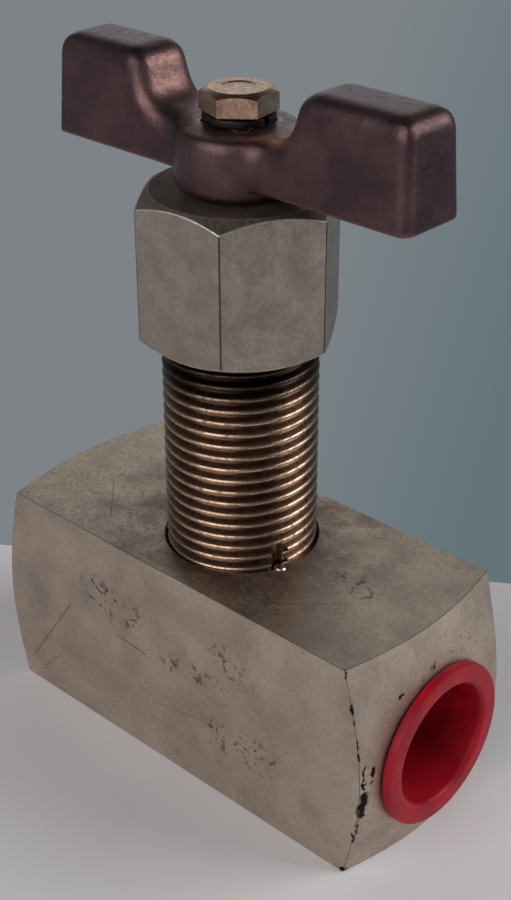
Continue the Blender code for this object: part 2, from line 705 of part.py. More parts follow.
def outline_mesh(name, points, thickness):
    """A flat outline in the XZ plane, given a thickness along Y and welded into a mesh."""
    curve = bpy.data.curves.new(name, "CURVE")
    curve.dimensions = "2D"
    curve.fill_mode = "BOTH"
    curve.extrude = thickness / 2
    spline = curve.splines.new("POLY")
    spline.points.add(len(points) - 1)
    for point, (x, z) in zip(spline.points, points):
        point.co = (x, z, 0, 1)
    spline.use_cyclic_u = True
    flat = new_cutter(name, curve)
    mesh = baked_mesh(flat)
    bpy.data.objects.remove(flat)
    shape = bmesh.new()
    shape.from_mesh(mesh)
    bmesh.ops.remove_doubles(shape, verts=shape.verts, dist=0.001 * MM)
    bmesh.ops.rotate(shape, verts=shape.verts, matrix=Matrix.Rotation(math.pi / 2, 3, "X"))
    bmesh.ops.dissolve_limit(shape, angle_limit=math.radians(1), verts=shape.verts,
                             edges=shape.edges)
    bmesh.ops.recalc_face_normals(shape, faces=shape.faces)
    shape.to_mesh(mesh)
    shape.free()
    return mesh


def build_handle(stem_axis):
    """Cast tee handle: two drafted wings on a round hub with a square hole."""
    mesh = outline_mesh("handle", handle_outline(), WING_THICKNESS)
    bottom = HUB_BOTTOM + WING_RISE
    for vertex in mesh.vertices:
        rise = (vertex.co.z - bottom) / WING_HEIGHT
        vertex.co.y *= 1 - 2 * WING_DRAFT * rise / WING_THICKNESS
    weigh_edges(mesh, bottom, WING_CORNER / WING_EDGE)
    handle = new_part("handle", mesh, ((0.055, 0.032, 0.030), 0.45, 0.6), stem_axis)
    edge = handle.modifiers.new("cast_edges", "BEVEL")
    edge.width = WING_EDGE
    edge.segments = 3
    edge.limit_method = "WEIGHT"
    hub_points = [
        (0, HUB_TOP), (HUB_RADIUS - HUB_EDGE, HUB_TOP), (HUB_RADIUS, HUB_TOP - HUB_EDGE),
        (HUB_RADIUS, HUB_BOTTOM + HUB_EDGE), (HUB_RADIUS - HUB_EDGE, HUB_BOTTOM), (0, HUB_BOTTOM),
    ]
    combine(handle, turned_cutter("hub", hub_points, steps=FINE), "UNION")
    side = STEM_SQUARE + 2 * GAP
    middle = (HUB_BOTTOM + HUB_TOP) / 2
    through = HUB_HEIGHT + 4 * THROUGH
    socket_box = box_mesh("handle_socket", [((0, 0, middle), (side, side, through))])
    socket = new_cutter("handle_socket", socket_box)
    rounding = rod_profile(STEM_HOLE_RADIUS, HUB_BOTTOM - THROUGH, HUB_TOP + THROUGH)
    combine(socket, turned_cutter("socket_corners", rounding), "INTERSECT")
    combine(handle, socket)
    return handle


def build_handle_screw(stem_axis):
    """Hexagon-head screw that holds the handle on the stem, with its split washer."""
    top = SCREW_HEAD_BOTTOM + SCREW_HEAD_HEIGHT
    mesh = hexagon_mesh("handle_screw", SCREW_HEAD_ACROSS_FLATS, SCREW_HEAD_BOTTOM, top,
                        SCREW_HEAD_ANGLE)
    screw = new_part("handle_screw", mesh, ((0.42, 0.36, 0.26), 0.35, 1.0), stem_axis)
    blank = chamfer_blank("screw_chamfer", SCREW_HEAD_FACE_RADIUS, SCREW_HEAD_CHAMFER,
                          SCREW_HEAD_BOTTOM, top, both_ends=False)
    combine(screw, blank, "INTERSECT")
    inside_head = SCREW_HEAD_BOTTOM + SCREW_HEAD_HEIGHT / 2
    shank = rod_profile(SCREW_RADIUS, SCREW_HEAD_BOTTOM - SCREW_LENGTH, inside_head)
    combine(screw, turned_cutter("screw_shank", shank, steps=16), "UNION")

    profile = ring_profile(SCREW_RADIUS + GAP, WASHER_RADIUS, WASHER_BOTTOM,
                           WASHER_BOTTOM + WASHER_THICKNESS)
    dark_steel = ((0.08, 0.075, 0.07), 0.5, 0.9)
    washer = turned_part("handle_lock_washer", profile, dark_steel, stem_axis, closed=True)
    middle = ((SCREW_RADIUS + WASHER_RADIUS) / 2, 0, WASHER_BOTTOM + WASHER_THICKNESS / 2)
    sides = (2 * WASHER_RADIUS, WASHER_SPLIT, 2 * WASHER_THICKNESS)
    gap = new_cutter("washer_split", box_mesh("washer_split", [(middle, sides)]))
    combine(washer, gap)


# ---------------------------------------------------------------- port caps

def build_cap(name, port):
    """Hollow plastic cap pushed into a port, with Z pointing out of the port."""
    def plug_radius(depth):
        return PORT_MOUTH_RADIUS - GAP - depth * PORT_TAPER

    lead_depth = CAP_PLUG_DEPTH - CAP_LEAD_CHAMFER
    floor = CAP_PLUG_DEPTH - CAP_WALL
    flange_bottom = STACK_GAP
    flange_top = STACK_GAP + CAP_FLANGE_THICKNESS
    points = [
        (0, -floor),
        (plug_radius(floor) - CAP_WALL - CAP_LEAD_CHAMFER, -floor),
        (plug_radius(lead_depth) - CAP_WALL, -floor + CAP_LEAD_CHAMFER),
        (plug_radius(0) - CAP_WALL, flange_top - SMALL_CHAMFER),
        (plug_radius(0) - CAP_WALL + SMALL_CHAMFER, flange_top),
        (CAP_FLANGE_RADIUS - SMALL_CHAMFER, flange_top),
        (CAP_FLANGE_RADIUS, flange_top - SMALL_CHAMFER),
        (CAP_FLANGE_RADIUS, flange_bottom),
        (plug_radius(0) - PORT_CHAMFER / 2, flange_bottom),
        (plug_radius(lead_depth) - PORT_CHAMFER / 2, -lead_depth),
        (plug_radius(lead_depth) - CAP_LEAD_CHAMFER, -CAP_PLUG_DEPTH),
        (0, -CAP_PLUG_DEPTH),
    ]
    turned_part(name, points, ((0.42, 0.005, 0.015), 0.35, 0.0), port, steps=FINE)


def main():
    frame = new_empty("valve_frame")
    needle_axis = new_empty("needle_axis", parent=frame)
    stem_axis = new_empty("stem_axis", parent=needle_axis)
    ports = {}
    for side, sign in (("inlet", -1), ("outlet", 1)):
        place = (sign * BODY_LENGTH / 2, 0, PORT_HEIGHT)
        ports[side] = new_empty(f"{side}_port", place, (0, sign * math.pi / 2, 0), frame)
    pin_hole = lock_pin_hole()
    build_body(frame, ports, pin_hole)
    build_bonnet(frame, pin_hole)
    build_bonnet_fixings(frame)
    build_seat(frame)
    retainer_bottom, ball_height = build_needle(needle_axis)
    build_stem(stem_axis, ball_height)
    build_stem_fittings(stem_axis, retainer_bottom, ball_height)
    gland_bottom = build_packing(frame)
    build_gland(frame, gland_bottom)
    build_nut(frame)
    build_handle(stem_axis)
    build_handle_screw(stem_axis)
    for side, port in ports.items():
        build_cap(f"{side}_port_cap", port)
    for part in PARTS.objects:
        if part.type == "MESH" and part.data.polygons:
            smooth(part)


clear_scene()
PARTS = new_collection("needle_valve")
CUTTERS = new_collection("cutters")
main()
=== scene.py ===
"""Looks of a bar-stock needle valve with a tee handle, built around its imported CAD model.

Every visible piece is modelled here in metres, in the CAD's own frame: +Z runs up the stem, +X out
of the outlet port and -Y out of the front face. Each piece rides on the CAD body that moves it.
"""
import logging
import math
from dataclasses import dataclass
from enum import Enum
from typing import Callable, Dict, List, Sequence, Tuple, Union

import bpy
import bmesh
import numpy as np
from mathutils import Matrix, Vector


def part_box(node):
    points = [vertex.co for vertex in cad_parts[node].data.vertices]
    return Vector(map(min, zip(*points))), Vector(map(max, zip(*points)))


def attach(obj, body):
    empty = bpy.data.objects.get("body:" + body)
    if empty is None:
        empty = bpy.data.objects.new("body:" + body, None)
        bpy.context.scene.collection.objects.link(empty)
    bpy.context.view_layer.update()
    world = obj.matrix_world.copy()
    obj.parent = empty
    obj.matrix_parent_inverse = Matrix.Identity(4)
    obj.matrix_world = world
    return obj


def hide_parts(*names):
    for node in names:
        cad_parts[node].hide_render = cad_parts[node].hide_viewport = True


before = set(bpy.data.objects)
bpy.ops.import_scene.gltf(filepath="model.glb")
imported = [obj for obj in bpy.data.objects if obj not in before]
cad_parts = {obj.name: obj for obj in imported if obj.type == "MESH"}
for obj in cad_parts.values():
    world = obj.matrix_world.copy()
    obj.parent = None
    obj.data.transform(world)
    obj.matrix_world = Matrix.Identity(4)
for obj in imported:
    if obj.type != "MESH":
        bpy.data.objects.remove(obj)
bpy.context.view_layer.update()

logging.basicConfig(level=logging.INFO, format="%(message)s")
log = logging.getLogger("needle_valve")

MM = 0.001
INCH = 25.4 * MM
SMALL = 0.001 * MM      # points nearer than this count as one
Piece = bpy.types.Object
Node = bpy.types.Node
Tree = bpy.types.NodeTree
Point = Tuple[float, float]
Inputs = Union[Dict[Union[int, str], object], Sequence[object]]


class Body(Enum):
    """The CAD bodies that pieces ride on."""

    FIXED = "root"
    STEM = "stem"
    INLET_CAP = "inlet_cap"
    OUTLET_CAP = "outlet_cap"


# ------------------------------------------------------------------ nodes and colours

def colour(code: str) -> Tuple[float, float, float, float]:
    """Turn an sRGB hex code into a linear colour.

    Args:
        code: six hex digits after a hash.

    Returns:
        The linear red, green, blue and an alpha of 1.
    """
    parts = [int(code[i:i + 2], 16) / 255 for i in (1, 3, 5)]
    linear = [c / 12.92 if c <= 0.04045 else ((c + 0.055) / 1.055) ** 2.4 for c in parts]
    return (*linear, 1.0)


def find_input(node: Node, key: Union[int, str]) -> bpy.types.NodeSocket:
    """Find an input by its number, its identifier or its name.

    Args:
        node: the node.
        key: the input's number, identifier or name.

    Returns:
        The input.
    """
    if isinstance(key, int):
        return node.inputs[key]
    for socket in node.inputs:
        if socket.identifier == key:
            return socket
    return node.inputs[key]


def add_node(tree: Tree, kind: str, inputs: Inputs = (), **settings: object) -> Node:
    """Add a node with its settings and links.

    Args:
        tree: the node tree.
        kind: the node's type name, without its ShaderNode.
        inputs: a constant, a node or an output socket for each input, by name or in order.
        settings: properties set on the node before its inputs.

    Returns:
        The new node.
    """
    node = tree.nodes.new("ShaderNode" + kind)
    for name, value in settings.items():
        if name == "stops":
            set_stops(node, value)
        else:
            setattr(node, name, value)
    for key, value in inputs.items() if isinstance(inputs, dict) else enumerate(inputs):
        socket = find_input(node, key)
        if isinstance(value, Node):
            value = next(output for output in value.outputs if output.enabled)
        if isinstance(value, bpy.types.NodeSocket):
            tree.links.new(value, socket)
        else:
            socket.default_value = value
    return node


def set_stops(node: Node, stops: Sequence[Tuple[float, object]]) -> None:
    """Set a colour ramp's stops, each a place and a grey level or a linear colour.

    Args:
        node: the node.
        stops: the stops, in order.
    """
    elements = node.color_ramp.elements
    while len(elements) < len(stops):
        elements.new(1.0)
    for element, (place, value) in zip(elements, stops):
        element.position = place
        element.color = value if isinstance(value, tuple) else (value, value, value, 1.0)


# ------------------------------------------------------------------ modelling helpers

def deselect() -> None:
    """Deselect everything, so that an operator acts only on what is picked next."""
    bpy.ops.object.select_all(action="DESELECT")


def activate(piece: Piece) -> Piece:
    """Make a piece the only selected and active one.

    Args:
        piece: the piece.

    Returns:
        The same piece.
    """
    deselect()
    piece.select_set(True)
    bpy.context.view_layer.objects.active = piece
    return piece


def name_active(name: str) -> Piece:
    """Name the object that an operator has just added.

    Args:
        name: the name.

    Returns:
        The named object.
    """
    piece = bpy.context.active_object
    piece.name = name
    piece.data.name = name
    return piece


def fix_in_place(piece: Piece) -> Piece:
    """Put a piece's place, turn and scale into its mesh.

    Args:
        piece: the piece.

    Returns:
        The same piece.
    """
    activate(piece)
    bpy.ops.object.transform_apply(location=True, rotation=True, scale=True)
    return piece


def settle(piece: Piece) -> Piece:
    """Put a piece's place, turn and scale into its mesh and close its doubles.

    Args:
        piece: the piece.

    Returns:
        The same piece.
    """
    fix_in_place(piece)
    bpy.ops.object.mode_set(mode="EDIT")
    bpy.ops.mesh.select_all(action="SELECT")
    bpy.ops.mesh.remove_doubles(threshold=SMALL)
    bpy.ops.mesh.normals_make_consistent(inside=False)
    bpy.ops.object.mode_set(mode="OBJECT")
    return piece


def apply_modifier(piece: Piece, kind: str, **settings: object) -> Piece:
    """Add a modifier with its settings and apply it.

    Args:
        piece: the piece.
        kind: the modifier's type.
        settings: the modifier's settings.

    Returns:
        The same piece.
    """
    activate(piece)
    modifier = piece.modifiers.new(kind.lower(), kind)
    for name, value in settings.items():
        setattr(modifier, name, value)
    bpy.ops.object.modifier_apply(modifier=modifier.name)
    return piece


def combine(piece: Piece, tool: Piece, operation: str = "DIFFERENCE") -> Piece:
    """Cut, join or trim a piece with a tool, which is then removed.

    Args:
        piece: the piece.
        tool: the tool.
        operation: DIFFERENCE, UNION or INTERSECT.

    Returns:
        The piece.
    """
    apply_modifier(piece, "BOOLEAN", operation=operation, object=tool, solver="EXACT")
    bpy.data.objects.remove(tool, do_unlink=True)
    return piece


def break_edges(piece: Piece, width: float, angle: float, segments: int = 3) -> Piece:
    """Round a piece's edges and mark the new faces for its finish.

    Faces along upright edges get a "corner" attribute of 1, and the others an "edge" of 1.

    Args:
        piece: the piece.
        width: width of the rounding.
        angle: only edges sharper than this many degrees are rounded.
        segments: faces across each rounding.

    Returns:
        The same piece, with even normals.
    """
    settle(piece)
    keep = bpy.data.materials.new("keep")
    edge = bpy.data.materials.new("edge")
    piece.data.materials.clear()
    piece.data.materials.append(keep)
    piece.data.materials.append(edge)
    piece.data.polygons.foreach_set("material_index", [0] * len(piece.data.polygons))
    apply_modifier(piece, "BEVEL", width=width, segments=segments, limit_method="ANGLE",
                   angle_limit=math.radians(angle), material=1, miter_outer="MITER_ARC",
                   use_clamp_overlap=True)
    mesh = piece.data
    for name, upright in (("edge", False), ("corner", True)):
        marks = [float(face.material_index == 1 and (abs(face.normal.z) < 0.08) == upright)
                 for face in mesh.polygons]
        store(piece, name, marks, "FACE")
    mesh.polygons.foreach_set("material_index", [0] * len(mesh.polygons))
    mesh.materials.clear()
    bpy.data.materials.remove(keep)
    bpy.data.materials.remove(edge)
    return even_normals(piece)


def shade(piece: Piece, angle: float = 30.0) -> Piece:
    """Shade a piece smooth except over edges sharper than the angle in degrees.

    Args:
        piece: the piece.
        angle: edges sharper than this many degrees stay sharp.

    Returns:
        The same piece.
    """
    activate(piece)
    bpy.ops.object.shade_smooth_by_angle(angle=math.radians(angle))
    return piece


def turn(name: str, points: Sequence[Point], sides: int, ring: bool = False) -> Piece:
    """Turn a profile about Z by extruding a circle from one point to the next.

    Args:
        name: the piece's name.
        points: (radius, height) points, none of them on the axis.
        sides: sides round the full circle.
        ring: True for a ring, whose last point joins its first.

    Returns:
        The closed, turned piece.
    """
    deselect()
    radius, height = points[0]
    fill = "NOTHING" if ring else "NGON"
    bpy.ops.mesh.primitive_circle_add(vertices=sides, radius=radius, fill_type=fill,
                                      location=(0, 0, height))
    piece = fix_in_place(name_active(name))
    bpy.ops.object.mode_set(mode="EDIT")
    bpy.ops.mesh.select_all(action="SELECT")
    route = list(points[1:]) + ([points[0]] if ring else [])
    for new_radius, new_height in route:
        rise = (0, 0, new_height - height)
        bpy.ops.mesh.extrude_region_move(TRANSFORM_OT_translate={"value": rise})
        if abs(new_radius - radius) > 1e-9:
            scale = new_radius / radius
            bpy.ops.transform.resize(value=(scale, scale, 1), center_override=(0, 0, new_height))
        radius, height = new_radius, new_height
    bpy.ops.object.mode_set(mode="OBJECT")
    return settle(piece)


def rod(name: str, radius: float, low: float, high: float, sides: int, lead: float = 0.0) -> Piece:
    """Turn a plain rod about Z.

    Args:
        name: the piece's name.
        radius: its radius.
        low: height of its lower end.
        high: height of its upper end.
        sides: sides round the full circle.
        lead: width of the bevel at each end.

    Returns:
        The rod.
    """
    points = [(radius - lead, high), (radius, high - lead),
              (radius, low + lead), (radius - lead, low)]
    return turn(name, points if lead else points[::3], sides)


def coned_disc(name: str, flat: float, reach: float, angle: float, low: float, high: float,
               sides: int) -> Piece:
    """Turn a disc whose ends slope back from a flat, to trim a bar's corners with.

    Args:
        name: the piece's name.
        flat: radius of the flat.
        reach: radius of the disc.
        angle: slope of its ends in radians.
        low: height of its lower flat.
        high: height of its upper flat.
        sides: sides round the full circle.

    Returns:
        The disc.
    """
    fall = (reach - flat) * math.tan(angle)
    return turn(name, [(flat, high), (reach, high - fall), (reach, low + fall), (flat, low)],
                sides)


def box(name: str, centre: Sequence[float], sides: Sequence[float]) -> Piece:
    """Add a box at its place and size.

    Args:
        name: the name.
        centre: its centre.
        sides: its three sides.

    Returns:
        The box.
    """
    deselect()
    bpy.ops.mesh.primitive_cube_add(size=1.0, location=centre, scale=sides)
    return fix_in_place(name_active(name))


def pick_edges(piece: Piece, wanted: Callable[[Vector, Vector], bool]) -> None:
    """Select only the edges whose two ends pass a test, and leave the piece in edit mode.

    Args:
        piece: the piece.
        wanted: the test, which gets the places of an edge's two ends.
    """
    activate(piece)
    bpy.context.tool_settings.mesh_select_mode = (False, True, False)
    bpy.ops.object.mode_set(mode="EDIT")
    bpy.ops.mesh.select_all(action="DESELECT")
    bpy.ops.object.mode_set(mode="OBJECT")
    mesh = piece.data
    for edge in mesh.edges:
        edge.select = wanted(*(mesh.vertices[i].co for i in edge.vertices))
    bpy.ops.object.mode_set(mode="EDIT")


def end_picking() -> None:
    """Leave edit mode and pick whole points again."""
    bpy.ops.object.mode_set(mode="OBJECT")
    bpy.context.tool_settings.mesh_select_mode = (True, False, False)


def taper_top(piece: Piece, scale: Sequence[float]) -> Piece:
    """Scale the top face of a box about its own centre.

    Args:
        piece: the piece.
        scale: the scales along X and Y.

    Returns:
        The same piece.
    """
    points = [vertex.co.copy() for vertex in piece.data.vertices]
    top = max(point.z for point in points)
    middle = sum(points, Vector()) / len(points)
    pick_edges(piece, lambda a, b: min(a.z, b.z) > top - SMALL)
    bpy.ops.transform.resize(value=(scale[0], scale[1], 1),
                             center_override=(middle.x, middle.y, top))
    end_picking()
    return piece


def prism(name: str, across: float, bottom: float, top: float, turned: float) -> Piece:
    """Add a hexagonal bar.

    Args:
        name: the piece's name.
        across: distance across its flats.
        bottom: height of its lower end.
        top: height of its upper end.
        turned: angle in degrees from +X to its first corner.

    Returns:
        The bar.
    """
    deselect()
    bpy.ops.mesh.primitive_cylinder_add(vertices=6, radius=across / math.sqrt(3),
                                        depth=top - bottom,
                                        location=(0, 0, (bottom + top) / 2))
    piece = name_active(name)
    # a cylinder's first corner is on +Y before it is turned
    piece.rotation_euler = (0, 0, math.radians(turned - 90))
    return settle(piece)


def lay_along_x(piece: Piece, sign: int, centre: Sequence[float]) -> Piece:
    """Turn a piece's +Z to +X or -X and move its origin to a centre.

    Args:
        piece: the piece.
        sign: 1 for +X and -1 for -X.
        centre: its centre.

    Returns:
        The same piece.
    """
    piece.rotation_euler = (0, sign * math.pi / 2, 0)
    piece.location = centre
    return fix_in_place(piece)


def dress(piece: Piece, finish: "Finish", body: Body, slot: str, *nodes: str) -> Piece:
    """Give a piece its finish, its body and the CAD nodes it stands for.

    Args:
        piece: the piece.
        finish: its finish.
        body: the CAD body that moves it.
        slot: not used.
        nodes: the CAD nodes it stands for.

    Returns:
        The same piece.
    """
    piece.data.materials.clear()
    piece.data.materials.append(finish.material())
    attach(piece, body.value)
    if nodes:
        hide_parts(*nodes)
    log.info("%s: %d faces, rides on %s", piece.name, len(piece.data.polygons), body.value)
    return piece


def read_points(piece: Piece, what: str = "co") -> np.ndarray:
    """Read the places, or the normals, of a piece's points as rows.

    Args:
        piece: the piece.
        what: co for places or normal for normals.

    Returns:
        One row of three numbers for each point.
    """
    values = np.empty(len(piece.data.vertices) * 3)
    piece.data.vertices.foreach_get(what, values)
    return values.reshape(-1, 3)


def store(piece: Piece, name: str, values: np.ndarray, domain: str = "POINT") -> None:
    """Store one number for each of a piece's points or faces, for its finish to read."""
    attribute = piece.data.attributes.new(name, "FLOAT", domain)
    attribute.data.foreach_set("value", np.asarray(values, dtype=np.float32))


def mark_curvature(piece: Piece, rounds: int) -> Piece:
    """Store how far each point stands out of its surroundings as "worn" and "hollow" attributes.

    Args:
        piece: a piece with an even, fine mesh.
        rounds: how many times the neighbours' average is taken, which sets the width looked at.

    Returns:
        The same piece.
    """
    place, normal = read_points(piece), read_points(piece, "normal")
    edges = piece.data.edges
    ends = np.empty(len(edges) * 2, dtype=np.int64)
    edges.foreach_get("vertices", ends)
    a, b = ends[0::2], ends[1::2]
    share = np.bincount(ends, minlength=len(place))[:, None]
    average = place.copy()
    for _ in range(rounds):
        total = np.zeros_like(average)
        np.add.at(total, a, average[b])
        np.add.at(total, b, average[a])
        average = (average + total) / (share + 1)
    stands_out = ((place - average) * normal).sum(axis=1) / MM
    store(piece, "worn", np.clip(stands_out, 0, 1))
    store(piece, "hollow", np.clip(-stands_out, 0, 1))
    return piece


def even_normals(piece: Piece, angle: float = 30.0) -> Piece:
    """Shade by angle and let large flat faces keep their own normals."""
    shade(piece, angle)
    return apply_modifier(piece, "WEIGHTED_NORMAL", keep_sharp=True, weight=50)


# ------------------------------------------------------------------ finishes

@dataclass(frozen=True)
class Mark:
    """A scratch, nick or gouge: a straight stroke through the metal's surface, in millimetres."""

    start: Tuple[float, float, float]
    end: Tuple[float, float, float]
    width: float


def per_mm(size: float) -> float:
    """Give the noise scale whose features are about this many millimetres wide."""
    return 1.0 / (size * MM)


def lay_over(tree: Tree, tone: object, mask: object, code: str, share: float = 1.0) -> Node:
    """Lay a colour over a tone where a mask is 1.

    Args:
        tree: the node tree.
        tone: the colour below.
        mask: where the new colour shows.
        code: the new colour's hex code.
        share: how much of it shows where the mask is 1.

    Returns:
        The mixed tone.
    """
    if share != 1.0:
        mask = add_node(tree, "Math", (mask, share), operation="MULTIPLY")
    return add_node(tree, "Mix", {"Factor_Float": mask, "A_Color": tone, "B_Color": colour(code)},
                    data_type="RGBA")


def stroke_mask(tree: Tree, place: object, marks: Sequence[Mark]) -> object:
    """Give 1 inside any of the strokes and 0 outside them.

    Args:
        tree: the node tree.
        place: coordinates in metres, already roughened where the strokes are ragged.
        marks: the strokes.

    Returns:
        The joined mask.
    """
    total: object = 0.0
    for mark in marks:
        start, end = Vector(mark.start) * MM, Vector(mark.end) * MM
        along = end - start
        offset = add_node(tree, "VectorMath", (place, start), operation="SUBTRACT")
        share = add_node(tree, "VectorMath", (offset, along / along.length_squared),
                         operation="DOT_PRODUCT")
        held = add_node(tree, "Math", (share, 0.0), operation="ADD", use_clamp=True)
        near = add_node(tree, "VectorMath", {0: along, "Scale": held}, operation="SCALE")
        away = add_node(tree, "VectorMath", (offset, near), operation="DISTANCE")
        # the stroke's side fades over the middle third of its half width
        inside = add_node(tree, "MapRange",
                          (away, mark.width * MM * 0.35, mark.width * MM * 0.65, 1.0, 0.0))
        total = add_node(tree, "Math", (total, inside), operation="MAXIMUM")
    return total


def spot_mask(tree: Tree, place: object, spacing: float, size: float, share: float) -> Node:
    """Scatter round spots over a surface.

    Args:
        tree: the node tree.
        place: coordinates in metres.
        spacing: distance between the places where a spot may be, in millimetres.
        size: radius of a spot as a share of the spacing.
        share: share of those places that have one.

    Returns:
        1 inside a spot.
    """
    cells = add_node(tree, "TexVoronoi", {"Vector": place, "Scale": per_mm(spacing)})
    near = add_node(tree, "MapRange", (cells.outputs["Distance"], size * 0.5, size, 1.0, 0.0))
    picked = add_node(tree, "Math", (cells.outputs["Color"], share), operation="LESS_THAN")
    return add_node(tree, "Math", (near, picked), operation="MULTIPLY")


class Finish:
    """A finish, whose Blender material is made once and then shared."""

    name: str

    def material(self) -> bpy.types.Material:
        """Return the material, which is built the first time.

        Returns:
            The material.
        """
        found = bpy.data.materials.get(self.name)
        if found is None:
            found = bpy.data.materials.new(self.name)
            found.use_nodes = True
            found.node_tree.nodes.clear()
            self.build(found.node_tree)
        return found

    def build(self, tree: Tree) -> None:
        """Build the nodes."""
        raise NotImplementedError

    def close(self, tree: Tree, inputs: Inputs, bump: object, height: float) -> None:
        """Add the shader with a bump of this height in millimetres, and the output.

        Args:
            tree: the node tree.
            inputs: the shader's other inputs.
            bump: the relief, from 0 to 1.
            height: height of the relief in millimetres.
        """
        bumped = add_node(tree, "Bump", {"Strength": 1.0, "Distance": height * MM, "Height": bump})
        shader = add_node(tree, "BsdfPrincipled", {**inputs, "Normal": bumped})
        add_node(tree, "OutputMaterial", {"Surface": shader})


@dataclass(frozen=True)
class Steel(Finish):
    """Machined metal: cloudy tone, fine grain, scattered pits, brighter worn edges, and on a
    thread painted crest highlights and painted shade under the nut.
    """

    name: str
    tone: str
    dark: str
    bright: str
    roughness: float = 0.45
    cloud: float = 9.0              # millimetres across a cloud
    grain: float = 0.35             # millimetres across a grain, coarser than real so it shows
    grain_height: float = 0.012
    grain_tint: float = 0.5         # how far the grain darkens the tone
    pits: float = 0.05              # share of the places that are pitted
    pit_spacing: float = 1.6
    edge_shine: float = 0.6
    corner_tone: str = "#1d1714"
    corner_darkening: float = 0.0
    marks: Tuple[Mark, ...] = ()
    scratches: Tuple[Mark, ...] = ()
    scuffs: Tuple[Mark, ...] = ()   # wide strokes inside which the surface is blotched
    stretch: Tuple[float, float, float] = (1.0, 1.0, 1.0)
    nut_shade_heights: Tuple[float, ...] = ()   # heights in millimetres between which black painted shade sets in under the nut
    foot_ring_radii: Tuple[float, ...] = ()   # radii in millimetres, on the top, between which a brown darkening fades

    def build(self, tree: Tree) -> None:
        """Build clouds, grain, pits, a brown ring round the bonnet's foot, painted shade under the
        nut, marks, worn edges and painted crest highlights over the metal's tone.

        Args:
            tree: the node tree.
        """
        place = add_node(tree, "TexCoord").outputs["Object"]
        stretched = add_node(tree, "Mapping", {"Vector": place, "Scale": self.stretch})
        cloud = add_node(tree, "TexNoise", {"Vector": place, "Scale": per_mm(self.cloud),
                                            "Detail": 4.0, "Roughness": 0.6})
        cloudy = add_node(tree, "ValToRGB", (cloud,), stops=((0.35, 0.0), (0.68, 1.0)))
        grain = add_node(tree, "TexNoise", {"Vector": stretched, "Scale": per_mm(self.grain),
                                            "Detail": 3.0, "Roughness": 0.65})
        fine = add_node(tree, "ValToRGB", (grain,), stops=((0.30, 0.0), (0.58, 1.0)))
        tone = lay_over(tree, colour(self.tone), cloudy, self.dark, 0.55)
        lost = add_node(tree, "Math", (1.0, fine), operation="SUBTRACT")
        tone = lay_over(tree, tone, lost, self.dark, self.grain_tint)
        pit = spot_mask(tree, place, self.pit_spacing, 0.22, self.pits)
        small = spot_mask(tree, place, self.pit_spacing * 0.45, 0.25, self.pits * 1.4)
        pit = add_node(tree, "Math", (pit, small), operation="MAXIMUM")
        tone = lay_over(tree, tone, pit, "#1c1612", 0.75)
        tone = self.tone_edges(tree, tone, fine)
        if self.foot_ring_radii or self.nut_shade_heights:
            tone = self.darken_round_bonnet(tree, tone, place, cloudy)
        height = add_node(tree, "Math", (fine, 0.5), operation="MULTIPLY")
        height = add_node(tree, "Math", (height, pit), operation="SUBTRACT")
        if self.marks or self.scratches:
            tone, height = self.mark(tree, tone, height, place, fine)
        if self.scuffs:
            tone, height = self.scuff(tree, tone, height, place)
        rough = add_node(tree, "MapRange",
                         (fine, 0.0, 1.0, self.roughness + 0.12, self.roughness - 0.04))
        self.close(tree, {"Base Color": tone, "Roughness": rough, "Metallic": 1.0}, height,
                   self.grain_height)

    def tone_edges(self, tree: Tree, tone: object, fine: object) -> object:
        """Brighten or darken the broken edges, which on a thread paints a highlight along its
        crests, and darken the upright ones.

        Args:
            tree: the node tree.
            tone: the colour so far.
            fine: the grain, from 0 to 1.

        Returns:
            The new colour.
        """
        edge = add_node(tree, "Attribute", attribute_name="edge").outputs["Fac"]
        patchy = add_node(tree, "Math", (fine, 0.2), operation="ADD")
        patchy = add_node(tree, "Math", (patchy, self.edge_shine), operation="MULTIPLY",
                          use_clamp=True)
        # on a thread the edges are its crests, so this paints a highlight along every crest
        worn = add_node(tree, "Math", (edge, patchy), operation="MULTIPLY")
        tone = lay_over(tree, tone, worn, self.bright)
        # the upright rounded corners are darkened towards the corner tone
        corner = add_node(tree, "Attribute", attribute_name="corner").outputs["Fac"]
        return lay_over(tree, tone, corner, self.corner_tone, self.corner_darkening)

    def darken_round_bonnet(self, tree: Tree, tone: object, place: object, cloudy: object) -> object:
        """Lay a brown darkening round the bonnet's foot and black painted shade up under the nut.

        Args:
            tree: the node tree.
            tone: the colour so far.
            place: coordinates in metres.
            cloudy: the clouds, from 0 to 1.

        Returns:
            The new colour.
        """
        rise = add_node(tree, "SeparateXYZ", (place,)).outputs["Z"]
        if self.foot_ring_radii:
            # a patchy brown darkening on the top round the bonnet's foot
            flat = add_node(tree, "VectorMath", (place, (1, 1, 0)), operation="MULTIPLY")
            radius = add_node(tree, "VectorMath", (flat,), operation="LENGTH")
            foot_darkening = add_node(tree, "MapRange",
                            (radius, self.foot_ring_radii[0] * MM, self.foot_ring_radii[1] * MM, 0.75, 0.0))
            above = add_node(tree, "Math", (rise, BODY_TOP - 0.3 * MM), operation="GREATER_THAN")
            foot_darkening = add_node(tree, "Math", (foot_darkening, above), operation="MULTIPLY")
            patchy = add_node(tree, "Math", (cloudy, 0.25), operation="ADD", use_clamp=True)
            foot_darkening = add_node(tree, "Math", (foot_darkening, patchy), operation="MULTIPLY")
            tone = lay_over(tree, tone, foot_darkening, "#6a4f3c")
        if self.nut_shade_heights:
            # black painted shade under the nut, darker towards the bonnet's top
            nut_shade = add_node(tree, "MapRange",
                             (rise, self.nut_shade_heights[0] * MM, self.nut_shade_heights[1] * MM, 0.0, 0.9))
            tone = lay_over(tree, tone, nut_shade, "#150f0d")
        return tone

